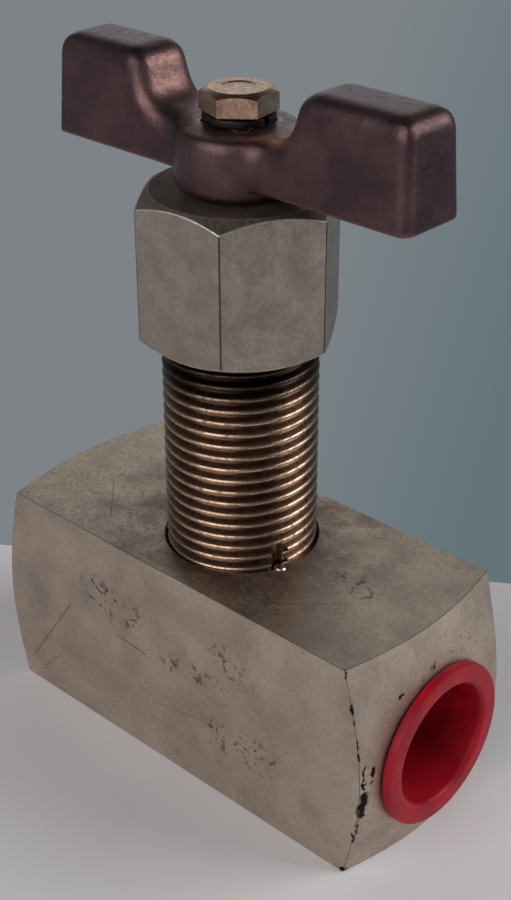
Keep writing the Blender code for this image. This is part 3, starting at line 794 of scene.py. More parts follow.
    def mark(self, tree: Tree, tone: object, height: object, place: object,
             fine: object) -> Tuple[object, object]:
        """Cut the ragged gouges and the straight scratches.

        Args:
            tree: the node tree.
            tone: the colour so far.
            height: the relief so far.
            place: coordinates in metres.
            fine: the grain, from 0 to 1.

        Returns:
            The new tone and the new height.
        """
        wobble = add_node(tree, "TexNoise",
                          {"Vector": place, "Scale": per_mm(1.1), "Detail": 3.0})
        moved = add_node(tree, "VectorMath", (wobble.outputs["Color"], (-0.5, -0.5, -0.5)),
                         operation="ADD")
        ragged = add_node(tree, "VectorMath", (moved, (1.6 * MM,) * 3, place),
                          operation="MULTIPLY_ADD")
        gouge = stroke_mask(tree, ragged, self.marks)
        scratch = stroke_mask(tree, place, self.scratches)
        patchy = add_node(tree, "Math", (fine, 0.15), operation="ADD")
        scratch = add_node(tree, "Math", (scratch, patchy), operation="MULTIPLY")
        tone = lay_over(tree, tone, gouge, "#1c1715")
        tone = lay_over(tree, tone, scratch, "#2a211c", 0.6)
        deep = add_node(tree, "Math", (gouge, 3.0), operation="MULTIPLY")
        cut = add_node(tree, "Math", (scratch, 0.8, deep), operation="MULTIPLY_ADD")
        return tone, add_node(tree, "Math", (height, cut), operation="SUBTRACT")

    def scuff(self, tree: Tree, tone: object, height: object,
              place: object) -> Tuple[object, object]:
        """Blotch the surface inside the scuffs and return the new tone and height.

        Args:
            tree: the node tree.
            tone: the colour so far.
            height: the relief so far.
            place: coordinates in metres.

        Returns:
            The new colour and relief.
        """
        zone = stroke_mask(tree, place, self.scuffs)
        blotch = add_node(tree, "TexNoise", {"Vector": place, "Scale": per_mm(1.5), "Detail": 2.0,
                                             "Roughness": 0.7, "Distortion": 0.8})
        blotch = add_node(tree, "MapRange", (blotch, 0.56, 0.64, 0.0, 0.7))
        blotch = add_node(tree, "Math", (zone, blotch), operation="MULTIPLY")
        tone = lay_over(tree, tone, blotch, "#3b312a")
        return tone, add_node(tree, "Math", (blotch, -2.0, height), operation="MULTIPLY_ADD")


@dataclass(frozen=True)
class Cast(Finish):
    """Cast and dark-coated metal, rubbed through to warm metal on its edges and hollows, with
    painted highlights on its scoops and hub rim.
    """

    name: str
    tone: str
    dark: str
    rub_and_highlight: str
    roughness: float = 0.38
    worn_at: Tuple[float, float] = (0.08, 0.27)
    hollow_at: Tuple[float, float] = (0.10, 0.45)

    def build(self, tree: Tree) -> None:
        """Build a casting's orange-peel skin, its rubbed edges, its rubbed hollows and the painted
        highlights on its scoops and hub rim.

        Args:
            tree: the node tree.
        """
        place = add_node(tree, "TexCoord").outputs["Object"]
        cloud = add_node(tree, "TexNoise", {"Vector": place, "Scale": per_mm(7.0), "Detail": 5.0,
                                            "Roughness": 0.6})
        cloudy = add_node(tree, "ValToRGB", (cloud,), stops=((0.36, 0.0), (0.66, 1.0)))
        skin = add_node(tree, "TexNoise", {"Vector": place, "Scale": per_mm(0.9), "Detail": 4.0,
                                           "Roughness": 0.6})
        fine = add_node(tree, "TexNoise", {"Vector": place, "Scale": per_mm(0.3), "Detail": 2.0})
        tone = lay_over(tree, colour(self.tone), cloudy, self.dark, 0.8)
        worn, hollow, scoop = (add_node(tree, "Attribute", attribute_name=name).outputs["Fac"]
                               for name in ("worn", "hollow", "scoop"))
        patchy = add_node(tree, "MapRange", (cloud, 0.35, 0.65, 0.15, 1.0))
        edge = add_node(tree, "MapRange", (worn, *self.worn_at, 0.0, 1.0))
        dip = add_node(tree, "MapRange", (hollow, *self.hollow_at, 0.0, 0.7))
        rub_and_highlight = add_node(tree, "Math", (edge, dip), operation="MAXIMUM")
        rub_and_highlight = add_node(tree, "Math", (rub_and_highlight, patchy), operation="MULTIPLY")
        # the scoop mark adds rubbed metal and a painted highlight on the scoops, and a painted
        # highlight on the hub's rim
        rub_and_highlight = add_node(tree, "Math", (rub_and_highlight, scoop), operation="MAXIMUM")
        speckled = add_node(tree, "MapRange", (skin, 0.3, 0.6, 0.45, 1.0))
        rub_and_highlight = add_node(tree, "Math", (rub_and_highlight, speckled), operation="MULTIPLY")
        tone = lay_over(tree, tone, rub_and_highlight, self.rub_and_highlight)
        speck = spot_mask(tree, place, 1.3, 0.2, 0.10)
        tone = lay_over(tree, tone, speck, "#120b0a", 0.6)
        height = add_node(tree, "Math", (fine, 0.35, skin), operation="MULTIPLY_ADD")
        height = add_node(tree, "Math", (speck, -0.6, height), operation="MULTIPLY_ADD")
        rough = add_node(tree, "MapRange",
                         (skin, 0.3, 0.7, self.roughness + 0.08, self.roughness - 0.06))
        self.close(tree, {"Base Color": tone, "Roughness": rough, "Metallic": 0.85}, height, 0.05)


@dataclass(frozen=True)
class Moulded(Finish):
    """Moulded plastic, rubber or ptfe: an even colour with a faint cloud and a soft skin."""

    name: str
    tone: str
    shadow: str
    roughness: float = 0.38
    skin: float = 0.25              # millimetres across a grain of the mould's skin
    glow: float = 0.0

    def build(self, tree: Tree) -> None:
        """Build the colour's faint clouds and the fine skin of the mould.

        Args:
            tree: the node tree.
        """
        place = add_node(tree, "TexCoord").outputs["Object"]
        cloud = add_node(tree, "TexNoise", {"Vector": place, "Scale": per_mm(5.0), "Detail": 3.0})
        skin = add_node(tree, "TexNoise",
                        {"Vector": place, "Scale": per_mm(self.skin), "Detail": 2.0})
        cloudy = add_node(tree, "ValToRGB", (cloud,), stops=((0.38, 0.0), (0.66, 0.6)))
        tone = lay_over(tree, colour(self.tone), cloudy, self.shadow)
        scuff = spot_mask(tree, place, 1.1, 0.2, 0.06)
        tone = lay_over(tree, tone, scuff, self.shadow, 0.35)
        rough = add_node(tree, "MapRange",
                         (skin, 0.3, 0.7, self.roughness - 0.05, self.roughness + 0.08))
        inputs = {"Base Color": tone, "Roughness": rough, "Metallic": 0.0, "IOR": 1.5,
                  "Specular IOR Level": 0.2, "Subsurface Weight": self.glow,
                  "Subsurface Scale": 1.0 * MM}
        self.close(tree, inputs, skin, 0.006)


BODY_MARKS = (
    Mark((36.65, -15.2, 20.0), (36.8, -15.3, 16.5), 0.5),
    Mark((37.0, -13.8, 19.3), (36.95, -14.0, 14.5), 0.45),
    Mark((36.8, -15.1, 15.2), (36.55, -15.3, 11.6), 1.15),
    Mark((36.3, -15.6, 10.6), (35.6, -15.8, 6.5), 0.5),
    Mark((36.9, -6.0, 28.0), (37.0, -3.4, 28.8), 0.55),
    Mark((37.1, -2.9, 28.7), (37.0, -1.2, 29.6), 0.7),
    Mark((36.9, -8.4, 28.0), (36.9, -7.8, 28.3), 0.5),
    Mark((34.3, -15.9, 0.6), (33.9, -15.6, 0.1), 0.9),
    Mark((33.2, -15.8, 34.9), (33.5, -15.9, 33.6), 0.4),
    Mark((34.6, -15.9, 30.0), (35.3, -15.9, 27.2), 0.45),
    Mark((35.9, -15.9, 24.4), (36.3, -15.9, 21.4), 0.5),
)
BODY_SCRATCHES = (
    Mark((-32.4, -15.875, 4.2), (-22.0, -15.875, 19.2), 0.20),
    Mark((-30.0, -15.875, 3.0), (-25.0, -15.875, 8.0), 0.14),
    Mark((-11.5, -15.875, 18.4), (-5.0, -15.875, 18.0), 0.24),
    Mark((-2.5, -15.875, 10.0), (7.0, -15.875, 12.0), 0.12),
    Mark((14.0, -15.875, 24.0), (20.5, -15.875, 16.0), 0.12),
    Mark((15.0, -12.0, 34.925), (24.0, -4.0, 34.925), 0.12),
    Mark((-25.0, -3.0, 34.925), (-17.0, -11.0, 34.925), 0.12),
    Mark((37.2, -7.0, 25.0), (36.6, -11.0, 27.0), 0.14),
)
BODY_SCUFFS = (
    Mark((-16.0, -15.875, 24.8), (-9.0, -15.875, 23.8), 6.0),
    Mark((10.5, -15.875, 25.6), (14.5, -15.875, 24.2), 5.0),
    Mark((0.5, -15.875, 19.4), (10.0, -15.875, 18.8), 4.0),
    Mark((8.5, -15.875, 11.0), (19.0, -15.875, 11.4), 5.5),
    Mark((36.9, 3.0, 31.0), (36.6, 6.5, 29.5), 3.0),
    Mark((20.0, 1.0, 34.925), (24.0, -1.0, 34.925), 4.0),
)

# hot-rolled bar, ground and plated: matt warm grey, cloudy, with black gouges and dark edge lines
BODY_STEEL = Steel("plated bar steel", "#c9b9a8", "#94857a", "#2e2621", roughness=0.5,
                   grain=0.6, grain_tint=0.32, cloud=7.0, corner_darkening=0.85, edge_shine=1.4,
                   marks=BODY_MARKS, scratches=BODY_SCRATCHES, scuffs=BODY_SCUFFS,
                   foot_ring_radii=(12.0, 27.0))
# drawn hexagon, plated: cooler and more even than the body, pale along its chamfers
NUT_STEEL = Steel("plated hexagon steel", "#ab9f92", "#7a7066", "#f2ead9", roughness=0.46,
                  grain=0.6, grain_tint=0.35, cloud=4.0, edge_shine=0.45, corner_darkening=0.8)
# rolled thread in unplated steel: brown and polished, with painted copper highlights on its crests
# and painted black shade on its top turns under the nut
BONNET_STEEL = Steel("threaded bonnet steel", "#735847", "#433125", "#d9b79c", roughness=0.30,
                     cloud=8.0, grain=0.9, grain_height=0.003, grain_tint=0.2, pits=0.0,
                     nut_shade_heights=(59.5, 64.0))
# yellow passivate over zinc: brownish gold, pitted and scuffed
SCREW_STEEL = Steel("yellow passivated screw steel", "#caa78e", "#6b4a36", "#f0d5bb",
                    roughness=0.30, cloud=2.2, grain=0.5, pits=0.20, pit_spacing=0.9)
# hardened and oiled spring wire: near black with a dull sheen
WASHER_STEEL = Steel("black spring steel", "#3a3532", "#1f1b19", "#6a625c", roughness=0.45)
# ground silver steel: a bright end in a dark notch
BRIGHT_STEEL = Steel("ground steel pin", "#cfc4b4", "#8d8070", "#f0e8dc", roughness=0.3,
                     pits=0.02, cloud=2.0)
# lathe-turned stainless: cool and shiny, with fine rings round its axis
STAINLESS = Steel("turned stainless steel", "#bdb8b0", "#8f8a83", "#e6e2dc", roughness=0.24,
                  grain=0.3, grain_height=0.003, grain_tint=0.2, pits=0.0,
                  stretch=(0.15, 0.15, 3.0))
# soft annealed sheet: salmon pink and dull
COPPER = Steel("annealed copper", "#c07a55", "#7c452d", "#e0a585", roughness=0.35, pits=0.01)
# turned bearing bronze: brown gold
BRONZE = Steel("bearing bronze", "#a97a45", "#6d4a28", "#d0a468", roughness=0.35, pits=0.01)
# die casting with a dark baked coat: red-brown, satin, rubbed pink where hands touch it, with
# painted pink highlights on the scoops and the hub's rim
CAST_HANDLE = Cast("dark coated casting", "#5f4749", "#3f2f30", "#b98a7b")
# injection-moulded polyethylene: waxy deep red that lets a little light in
CAP_PLASTIC = Moulded("red polyethylene", "#ad1427", "#780916", roughness=0.4, glow=0.1)
# moulded engineering polymer: ivory and satin
SEAT_PLASTIC = Moulded("moulded seat polymer", "#dcd3ba", "#b9ad8e", roughness=0.45)
# ptfe skived from a billet: waxy white
PTFE = Moulded("skived ptfe", "#e6e4de", "#c9c6be", roughness=0.5)
# moulded nitrile: matt black
RUBBER = Moulded("black nitrile rubber", "#1a1a1b", "#0d0d0e", roughness=0.6)


# ------------------------------------------------------------------ sizes taken from the CAD

def height_of(node: str) -> Tuple[float, float]:
    """Give a CAD node's lowest and highest points."""
    low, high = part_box(node)
    return low.z, high.z


BODY_LOW, BODY_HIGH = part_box("valve_body")
BODY_TOP = BODY_HIGH.z
PORT_AXIS = (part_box("outlet_port_cap")[0].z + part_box("outlet_port_cap")[1].z) / 2
BONNET_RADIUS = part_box("bonnet")[1].y
HOLE_RADIUS = BONNET_RADIUS + 0.3 * MM      # of the body's and the nut's holes round the bonnet
STEM_HOLE = 5.0625 * MM                     # of the bonnet's, nut's and handle's holes
PIN_LOW, PIN_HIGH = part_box("bonnet_lock_pin")
PIN_HOLE = 1.3 * MM
PIN_FOOT = PIN_LOW.z - 0.3 * MM             # bottom of the pin's hole


# ------------------------------------------------------------------ sub-assemblies

@dataclass
class ValveBody:
    """Square bar body with cone-turned ends, plain taper ports and a bonnet hole."""

    end_flat: float = 13.5 * MM
    end_cone: float = math.radians(20)
    edge: float = 0.38 * MM
    port_mouth: float = 10.6 * MM
    port_depth: float = 15.0 * MM
    port_taper: float = 1 / 32
    drill: float = 9.1 * MM
    drill_depth: float = 19.0 * MM
    drill_tip: float = 5.2 * MM
    chamber: float = 8.0 * MM
    chamber_floor: float = 1.1 * MM     # above the ports' axis
    bonnet_room: float = 2.0 * MM       # under the bonnet
    ends_sides: int = 192

    def port_tool(self, sign: int) -> Piece:
        """Make the tool that cuts one port with its taper and its drilled hole.

        Args:
            sign: 1 for +X and -1 for -X.

        Returns:
            The tool.
        """
        clear = 2 * MM
        bottom = self.port_mouth - self.port_depth * self.port_taper
        points = [(self.port_mouth + clear + 0.6 * MM, clear), (self.port_mouth, -0.6 * MM),
                  (bottom, -self.port_depth), (self.drill, -self.port_depth),
                  (self.drill, -self.drill_depth), (0.5 * MM, -self.drill_depth - self.drill_tip)]
        tool = turn("port_tool", points, 96)
        return lay_along_x(tool, sign, (sign * BODY_HIGH.x, 0, PORT_AXIS))

    def build(self) -> Piece:
        """Cut the body from a bar, round its edges and dress it.

        Returns:
            The body.
        """
        length = BODY_HIGH.x - BODY_LOW.x
        width = BODY_HIGH.y - BODY_LOW.y
        piece = box("valve_body_bar", (0, 0, BODY_TOP / 2), (length + 2 * MM, width, BODY_TOP))
        ends = coned_disc("ends_tool", self.end_flat, width + BODY_TOP, self.end_cone,
                          -BODY_HIGH.x, BODY_HIGH.x, self.ends_sides)
        combine(piece, lay_along_x(ends, 1, (0, 0, PORT_AXIS)), "INTERSECT")
        for sign in (-1, 1):
            combine(piece, self.port_tool(sign))
        low, _ = height_of("bonnet")
        above = 1 * MM
        mouth = 0.15 * MM
        bore = turn("bore_tool", [(HOLE_RADIUS + mouth + above, BODY_TOP + above),
                                  (HOLE_RADIUS, BODY_TOP - mouth),
                                  (HOLE_RADIUS, low - self.bonnet_room),
                                  (self.chamber, low - self.bonnet_room),
                                  (self.chamber, PORT_AXIS + self.chamber_floor)], 128)
        combine(piece, bore)
        combine(piece, at_pin(rod("pin_tool", PIN_HOLE, PIN_FOOT, BODY_TOP + above, 24)))
        break_edges(piece, self.edge, 24)
        return dress(piece, BODY_STEEL, Body.FIXED, "body_steel", "valve_body")


def at_pin(piece: Piece) -> Piece:
    """Move a piece to the lock pin's axis, which lies half in the bonnet and half in the body.

    Args:
        piece: a piece turned about Z.

    Returns:
        The same piece.
    """
    piece.location = ((PIN_LOW.x + PIN_HIGH.x) / 2, (PIN_LOW.y + PIN_HIGH.y) / 2, 0)
    return settle(piece)


@dataclass
class Bonnet:
    """Threaded bonnet, its lock pin and the notch that the pin sits in."""

    pitch: float = INCH / 14
    depth: float = 1.05 * MM
    crest: float = 0.16             # flat at the crest, as a share of the pitch
    root: float = 0.08
    columns: int = 128
    rows_each: int = 12             # rows for each pitch
    notch_height: float = 3.2 * MM
    pin_lead: float = 0.25 * MM     # bevel of the lock pin's ends
    packing_radius: float = 7.9625 * MM
    thread_hole: float = 5.85625 * MM
    packing_depth: float = 16.0 * MM
    neck: float = 2.4 * MM          # length of the stem hole under the packing
    neck_slope: float = 0.8 * MM

    def rolled_thread(self, low: float, high: float) -> Piece:
        """Roll a fine sheet into a right-hand thread, with its rows along the helix.

        Args:
            low: height of its lower end.
            high: height of its upper end.

        Returns:
            The thread, open at both ends.
        """
        row = self.pitch / self.rows_each
        count = math.ceil((high - low) / row) + self.rows_each
        deselect()
        bpy.ops.mesh.primitive_grid_add(x_subdivisions=self.columns, y_subdivisions=count,
                                        size=2.0)
        piece = name_active("bonnet_threaded")
        place = read_points(piece)
        share = place[:, 0] / 2                      # from -0.5 to 0.5 round the bonnet
        step = np.round((place[:, 1] + 1) / 2 * count)
        height = low + (step - self.rows_each / 2) * row + share * self.pitch
        height = np.clip(height, low, high)
        phase = (height / self.pitch - share) % 1.0
        away = np.abs(phase - 0.5)
        flank = 0.5 - (self.crest + self.root) / 2
        cut = np.clip((away - self.crest / 2) / flank, 0, 1)
        inset = np.minimum(height - low, high - height) / self.pitch
        radius = BONNET_RADIUS - self.depth * np.maximum(cut, 1 - np.clip(inset / 0.6, 0, 1))
        angle = share * 2 * np.pi
        place[:, 0] = radius * np.cos(angle)
        place[:, 1] = radius * np.sin(angle)
        place[:, 2] = height
        piece.data.vertices.foreach_set("co", place.ravel())
        piece.data.update()
        # the crests are stored as edges, which the finish paints bright: a painted highlight along
        # every crest
        store(piece, "edge", np.clip(1.25 - cut * 4, 0, 1))
        activate(piece)
        bpy.ops.object.mode_set(mode="EDIT")
        bpy.ops.mesh.select_all(action="SELECT")
        bpy.ops.mesh.remove_doubles(threshold=2 * SMALL)
        bpy.ops.object.mode_set(mode="OBJECT")
        return piece

    def line_bore(self, piece: Piece, points: Sequence[Point], start: float) -> None:
        """Extrude the upper rim inwards and down the bore until it meets the lower rim.

        Args:
            piece: the piece.
            points: (radius, height) points of the bore.
            start: radius of the upper rim.
        """
        top = max(vertex.co.z for vertex in piece.data.vertices)
        pick_edges(piece, lambda a, b: min(a.z, b.z) > top - SMALL)
        radius, height = start, top
        for new_radius, new_height in points:
            bpy.ops.mesh.extrude_region_move(
                TRANSFORM_OT_translate={"value": (0, 0, new_height - height)})
            scale = new_radius / radius
            bpy.ops.transform.resize(value=(scale, scale, 1), center_override=(0, 0, new_height))
            radius, height = new_radius, new_height
        bpy.ops.mesh.select_all(action="SELECT")
        bpy.ops.mesh.remove_doubles(threshold=2 * SMALL)
        bpy.ops.mesh.normals_make_consistent(inside=False)
        end_picking()

    def build(self) -> List[Piece]:
        """Build the bonnet and its lock pin.

        Returns:
            The bonnet and the pin.
        """
        low, high = height_of("bonnet")
        piece = self.rolled_thread(low, high)
        floor = high - self.packing_depth
        shelf = floor - self.neck
        rim = BONNET_RADIUS - self.depth
        self.line_bore(piece, [(self.packing_radius, high), (self.packing_radius, floor),
                               (STEM_HOLE, floor), (STEM_HOLE, shelf),
                               (self.thread_hole, shelf - self.neck_slope),
                               (self.thread_hole, low), (rim, low)], rim)
        notch = rod("notch_tool", PIN_HOLE, PIN_FOOT, BODY_TOP + self.notch_height, 32)
        combine(piece, at_pin(notch))
        shade(piece, 50)
        dress(piece, BONNET_STEEL, Body.FIXED, "bonnet_steel", "bonnet")
        pin = at_pin(rod("bonnet_lock_pin_ground", (PIN_HIGH.x - PIN_LOW.x) / 2, PIN_LOW.z,
                         PIN_HIGH.z, 40, self.pin_lead))
        even_normals(pin)
        dress(pin, BRIGHT_STEEL, Body.FIXED, "bright_steel", "bonnet_lock_pin")
        return [piece, pin]


@dataclass
class PackingNut:
    """Hexagon packing nut with both ends chamfered and a wiper groove in its web."""

    across: float = 25.4 * MM
    corner: float = 3.1             # degrees from +X to a corner
    face_radius: float = 12.2 * MM
    chamfer: float = math.radians(30)
    web: float = 4.0 * MM
    groove_radius: float = 6.9625 * MM
    groove_half: float = 0.95 * MM
    edge: float = 0.22 * MM

    def build(self) -> Piece:
        """Build the nut from a hexagonal bar.

        Returns:
            The nut.
        """
        low, high = height_of("packing_nut")
        piece = prism("packing_nut_hexagon", self.across, low, high, self.corner)
        combine(piece, coned_disc("nut_chamfer_tool", self.face_radius, 2 * self.face_radius,
                                  self.chamfer, low, high, 144), "INTERSECT")
        web = high - self.web
        middle = high - self.web / 2
        through = 1 * MM
        mouth = 0.5 * MM
        combine(piece, turn("nut_bore_tool", [
            (STEM_HOLE, high + through), (STEM_HOLE, middle + self.groove_half),
            (self.groove_radius, middle + self.groove_half),
            (self.groove_radius, middle - self.groove_half),
            (STEM_HOLE, middle - self.groove_half), (STEM_HOLE, web),
            (HOLE_RADIUS, web), (HOLE_RADIUS, low + mouth), (HOLE_RADIUS + mouth, low),
            (HOLE_RADIUS + mouth, low - through)], 96))
        break_edges(piece, self.edge, 20)
        return dress(piece, NUT_STEEL, Body.FIXED, "nut_steel", "packing_nut")


@dataclass
class Handle:
    """Cast tee handle: two drafted wings with scooped tops on a round hub."""

    rise: float = 2.1 * MM
    thickness: float = 11.2 * MM
    draft: float = 0.7 * MM
    edge: float = 2.5 * MM          # rounding of the upper edges
    corner: float = 1.6 * MM        # rounding of the upright edges
    scoop_start: float = 14.0 * MM
    scoop_foot: float = 11.9 * MM
    scoop_fillet: float = 3.3 * MM
    hub_radius: float = 8.75 * MM
    hub_height: float = 8.7 * MM
    hub_edge: float = 0.9 * MM
    socket: float = 7.8 * MM
    grain: float = 0.28 * MM        # size of the cast skin's faces
    fillet: float = 3.4 * MM        # reach of the softened corners between hub and wings
    fillet_rounds: int = 220
    skin_rounds: int = 5
    # shares of the rubbed colour: on the scoops rubbed metal with a painted highlight, on the
    # hub's rim a painted highlight
    scoop_rub_and_highlight: float = 0.22
    rim_highlight: float = 0.3

    def wings(self) -> Piece:
        """Shape both wings from one bar with a scoop cut in its top.

        Returns:
            The wings.
        """
        low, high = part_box("handle")
        bottom = low.z + self.rise
        length = high.x - low.x
        piece = box("handle_cast", ((low.x + high.x) / 2, 0, (bottom + high.z) / 2),
                    (length, self.thickness, high.z - bottom))
        taper_top(piece, (1 - 2 * self.draft / length, 1 - 2 * self.draft / self.thickness))
        foot = low.z + self.hub_height
        depth = high.z - foot + 1 * MM
        slope = (self.scoop_start - self.scoop_foot) / (high.z - foot)
        wide = self.scoop_foot + slope * depth
        tool = box("scoop_tool", (0, 0, foot + depth / 2), (2 * self.scoop_foot, 40 * MM, depth))
        taper_top(tool, (wide / self.scoop_foot, 1))
        self.round_edges(tool, foot)
        combine(piece, tool)
        self.weigh_edges(piece, bottom)
        return apply_modifier(piece, "BEVEL", width=self.edge, segments=6, limit_method="WEIGHT")

    def weigh_edges(self, piece: Piece, bottom: float) -> None:
        """Weight edges for rounding: none below, less for upright corners, full above.

        Args:
            piece: the piece.
            bottom: height of the wings' underside.
        """
        shape = bmesh.new()
        shape.from_mesh(piece.data)
        weights = shape.edges.layers.float.new("bevel_weight_edge")
        for edge in shape.edges:
            first, second = (vertex.co.z for vertex in edge.verts)
            if edge.calc_face_angle(0) > math.radians(60) and max(first, second) > bottom + MM:
                upright = abs(first - second) > 10 * MM
                edge[weights] = self.corner / self.edge if upright else 1.0
        shape.to_mesh(piece.data)
        shape.free()

    def round_edges(self, tool: Piece, foot: float) -> None:
        """Round the two lower edges of the scoop's tool.

        Args:
            tool: the tool.
            foot: height of the scoop's floor.
        """
        pick_edges(tool, lambda a, b: max(a.z, b.z) < foot + SMALL and abs(a.x - b.x) < SMALL)
        bpy.ops.mesh.bevel(offset=self.scoop_fillet, segments=8, affect="EDGES")
        end_picking()

    def soften(self, piece: Piece, low: float) -> None:
        """Fill the corners between hub and wings as a mould does.

        Args:
            piece: the piece.
            low: height of the hub's underside.
        """
        x, y, z = read_points(piece).T
        from_hub = np.abs(np.hypot(x, y) - self.hub_radius)
        from_wing = np.abs(np.abs(y) - self.thickness / 2)
        near = np.clip(1.5 - np.maximum(from_hub, from_wing) / self.fillet, 0, 1)
        near *= np.clip((z - low - self.rise - 0.4 * MM) / (1.2 * MM), 0, 1)
        group = piece.vertex_groups.new(name="corners")
        for index in np.nonzero(near > 0)[0]:
            group.add([int(index)], float(near[index]), "REPLACE")
        apply_modifier(piece, "SMOOTH", factor=0.5, iterations=self.fillet_rounds,
                       vertex_group="corners")
        piece.vertex_groups.clear()

    def build(self) -> Piece:
        """Cast the handle, open its square hole and dress it.

        Returns:
            The handle.
        """
        low, _ = height_of("handle")
        piece = self.wings()
        top = low + self.hub_height
        hub = rod("hub_tool", self.hub_radius, low, top, 96, self.hub_edge)
        combine(piece, hub, "UNION")
        apply_modifier(piece, "REMESH", mode="VOXEL", voxel_size=self.grain)
        self.soften(piece, low)
        apply_modifier(piece, "SMOOTH", factor=0.5, iterations=self.skin_rounds)
        socket = box("socket_tool", (0, 0, (low + top) / 2),
                     (self.socket, self.socket, self.hub_height + 6 * MM))
        combine(socket, rod("socket_round_tool", STEM_HOLE, low - 4 * MM, top + 4 * MM, 64),
                "INTERSECT")
        combine(piece, socket)
        settle(piece)
        mark_curvature(piece, 10)
        self.mark_rubs_and_highlights(piece, top)
        shade(piece, 40)
        return dress(piece, CAST_HANDLE, Body.STEM, "handle_casting", "handle")

    def mark_rubs_and_highlights(self, piece: Piece, top: float) -> None:
        """Store where fingers have rubbed the scoops bright, with a painted highlight over them,
        and a painted highlight round the hub's rim.

        Args:
            piece: the piece.
            top: height of the hub's upper face.
        """
        x, y, z = read_points(piece).T
        slope = np.clip((z - top + 0.2 * MM) / (1.2 * MM), 0, 1)
        slope *= np.clip((self.scoop_start + 0.6 * MM - np.abs(x)) / (1.0 * MM), 0, 1)
        slope *= np.clip((self.thickness / 2 + 1 * MM - np.abs(y)) / (1.0 * MM), 0, 1)
        rim = np.clip(1 - np.abs(np.hypot(x, y) - self.hub_radius + 1.2 * MM) / (0.9 * MM), 0, 1)
        rim *= np.abs(z - top) < 0.5 * MM
        # rubbed wear with a painted highlight on the scoops, and a painted highlight round the
        # hub's rim
        store(piece, "scoop", np.maximum(self.scoop_rub_and_highlight * slope, self.rim_highlight * rim))


@dataclass
class HandleScrew:
    """Hexagon-head screw that holds the handle, and its split washer."""

    across: float = 9.1 * MM
    corner: float = -20.0
    head: float = 3.0 * MM
    face_radius: float = 3.9 * MM
    chamfer: float = math.radians(28)
    shank: float = 2.4 * MM
    edge: float = 0.16 * MM
    dish: float = 2.5 * MM          # radius of the hollow in the head
    dish_floor: float = 2.1 * MM
    dish_depth: float = 0.16 * MM
    split: float = 0.8 * MM         # gap of the washer
    washer_edge: float = 0.1 * MM

    def build_head(self) -> Piece:
        """Build the screw with its dished, chamfered head.

        Returns:
            The screw.
        """
        low, high = height_of("handle_screw")
        seat = high - self.head
        piece = prism("handle_screw_hexagon", self.across, seat, high, self.corner)
        reach = 2 * self.face_radius
        fall = (reach - self.face_radius) * math.tan(self.chamfer)
        combine(piece, turn("head_tool", [(self.face_radius, high), (reach, high - fall),
                                          (reach, seat - 1 * MM)], 96), "INTERSECT")
        dish = turn("dish_tool", [(self.dish, high + 0.01 * MM),
                                  (self.dish_floor, high - self.dish_depth)], 64)
        combine(piece, dish)
        combine(piece, turn("shank_tool", [(self.shank, seat + self.head / 2),
                                           (self.shank, low + 0.4 * MM),
                                           (self.shank - 0.4 * MM, low)], 48), "UNION")
        break_edges(piece, self.edge, 20)
        return dress(piece, SCREW_STEEL, Body.STEM, "screw_steel", "handle_screw")

    def build_washer(self) -> Piece:
        """Build the split washer.

        Returns:
            The washer.
        """
        low, high = height_of("handle_lock_washer")
        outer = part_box("handle_lock_washer")[1].y
        inner = self.shank + 0.3 * MM
        piece = turn("handle_lock_washer_sprung", [(inner, low), (outer, low), (outer, high),
                                                   (inner, high)], 72, ring=True)
        gap = box("split_tool", ((inner + outer) / 2, 0, (low + high) / 2),
                  (outer, self.split, 4 * (high - low)))
        combine(piece, gap)
        break_edges(piece, self.washer_edge, 25, segments=2)
        return dress(piece, WASHER_STEEL, Body.STEM, "dark_steel", "handle_lock_washer")


@dataclass
class PortCap:
    """Push-in plastic cap with a flange and a hollow plug."""

    name: str
    sign: int
    body: Body
    flange: float = 12.4 * MM
    flange_low: float = 0.3 * MM
    flange_high: float = 1.6 * MM
    mouth: float = 10.3 * MM
    taper: float = 1 / 32
    wall: float = 1.1 * MM
    depth: float = 12.5 * MM
    lead: float = 1.0 * MM
    rounding: float = 0.45 * MM
    lip: float = 0.9 * MM           # rounding of the mouth

    def plug(self, depth: float) -> float:
        """Give the plug's outer radius at a depth."""
        return self.mouth - depth * self.taper

    def build(self) -> Piece:
        """Turn the cap, round its rims and push it into its port.

        Returns:
            The cap.
        """
        floor = self.depth - self.wall
        inner = self.plug(0) - self.wall
        step = self.depth - self.lead
        points = [
            (self.plug(floor) - self.wall - self.lead, -floor),
            (self.plug(floor) - self.wall - 0.4 * self.lead, -floor + 0.15 * self.lead),
            (self.plug(step) - self.wall, -floor + self.lead),
            (inner, self.flange_high - self.lip),
            (inner + 0.076 * self.lip, self.flange_high - 0.617 * self.lip),
            (inner + 0.293 * self.lip, self.flange_high - 0.293 * self.lip),
            (inner + 0.617 * self.lip, self.flange_high - 0.076 * self.lip),
            (inner + self.lip, self.flange_high),
            (self.flange - self.rounding, self.flange_high),
            (self.flange - 0.3 * self.rounding, self.flange_high - 0.3 * self.rounding),
            (self.flange, self.flange_high - self.rounding),
            (self.flange, self.flange_low),
            (self.plug(0) - 0.3 * MM, self.flange_low),
            (self.plug(step) - 0.3 * MM, -step),
            (self.plug(step) - self.lead, -self.depth),
        ]
        piece = turn(f"{self.name}_moulded", points, 128)
        lay_along_x(piece, self.sign, (self.sign * BODY_HIGH.x, 0, PORT_AXIS))
        settle(piece)
        even_normals(piece, 35)
        return dress(piece, CAP_PLASTIC, self.body, "red_plastic", self.name)


INNER_FINISHES: Dict[str, Finish] = {
    "bonnet_gasket": COPPER, "seat_insert": SEAT_PLASTIC, "needle_tip": STAINLESS,
    "needle_retainer": BRONZE, "thrust_ball": BRIGHT_STEEL, "stem": STAINLESS,
    "packing_base": STAINLESS, "packing_ring_lower": PTFE, "packing_ring_middle": PTFE,
    "packing_ring_upper": PTFE, "packing_gland": STAINLESS, "stem_wiper": RUBBER,
}


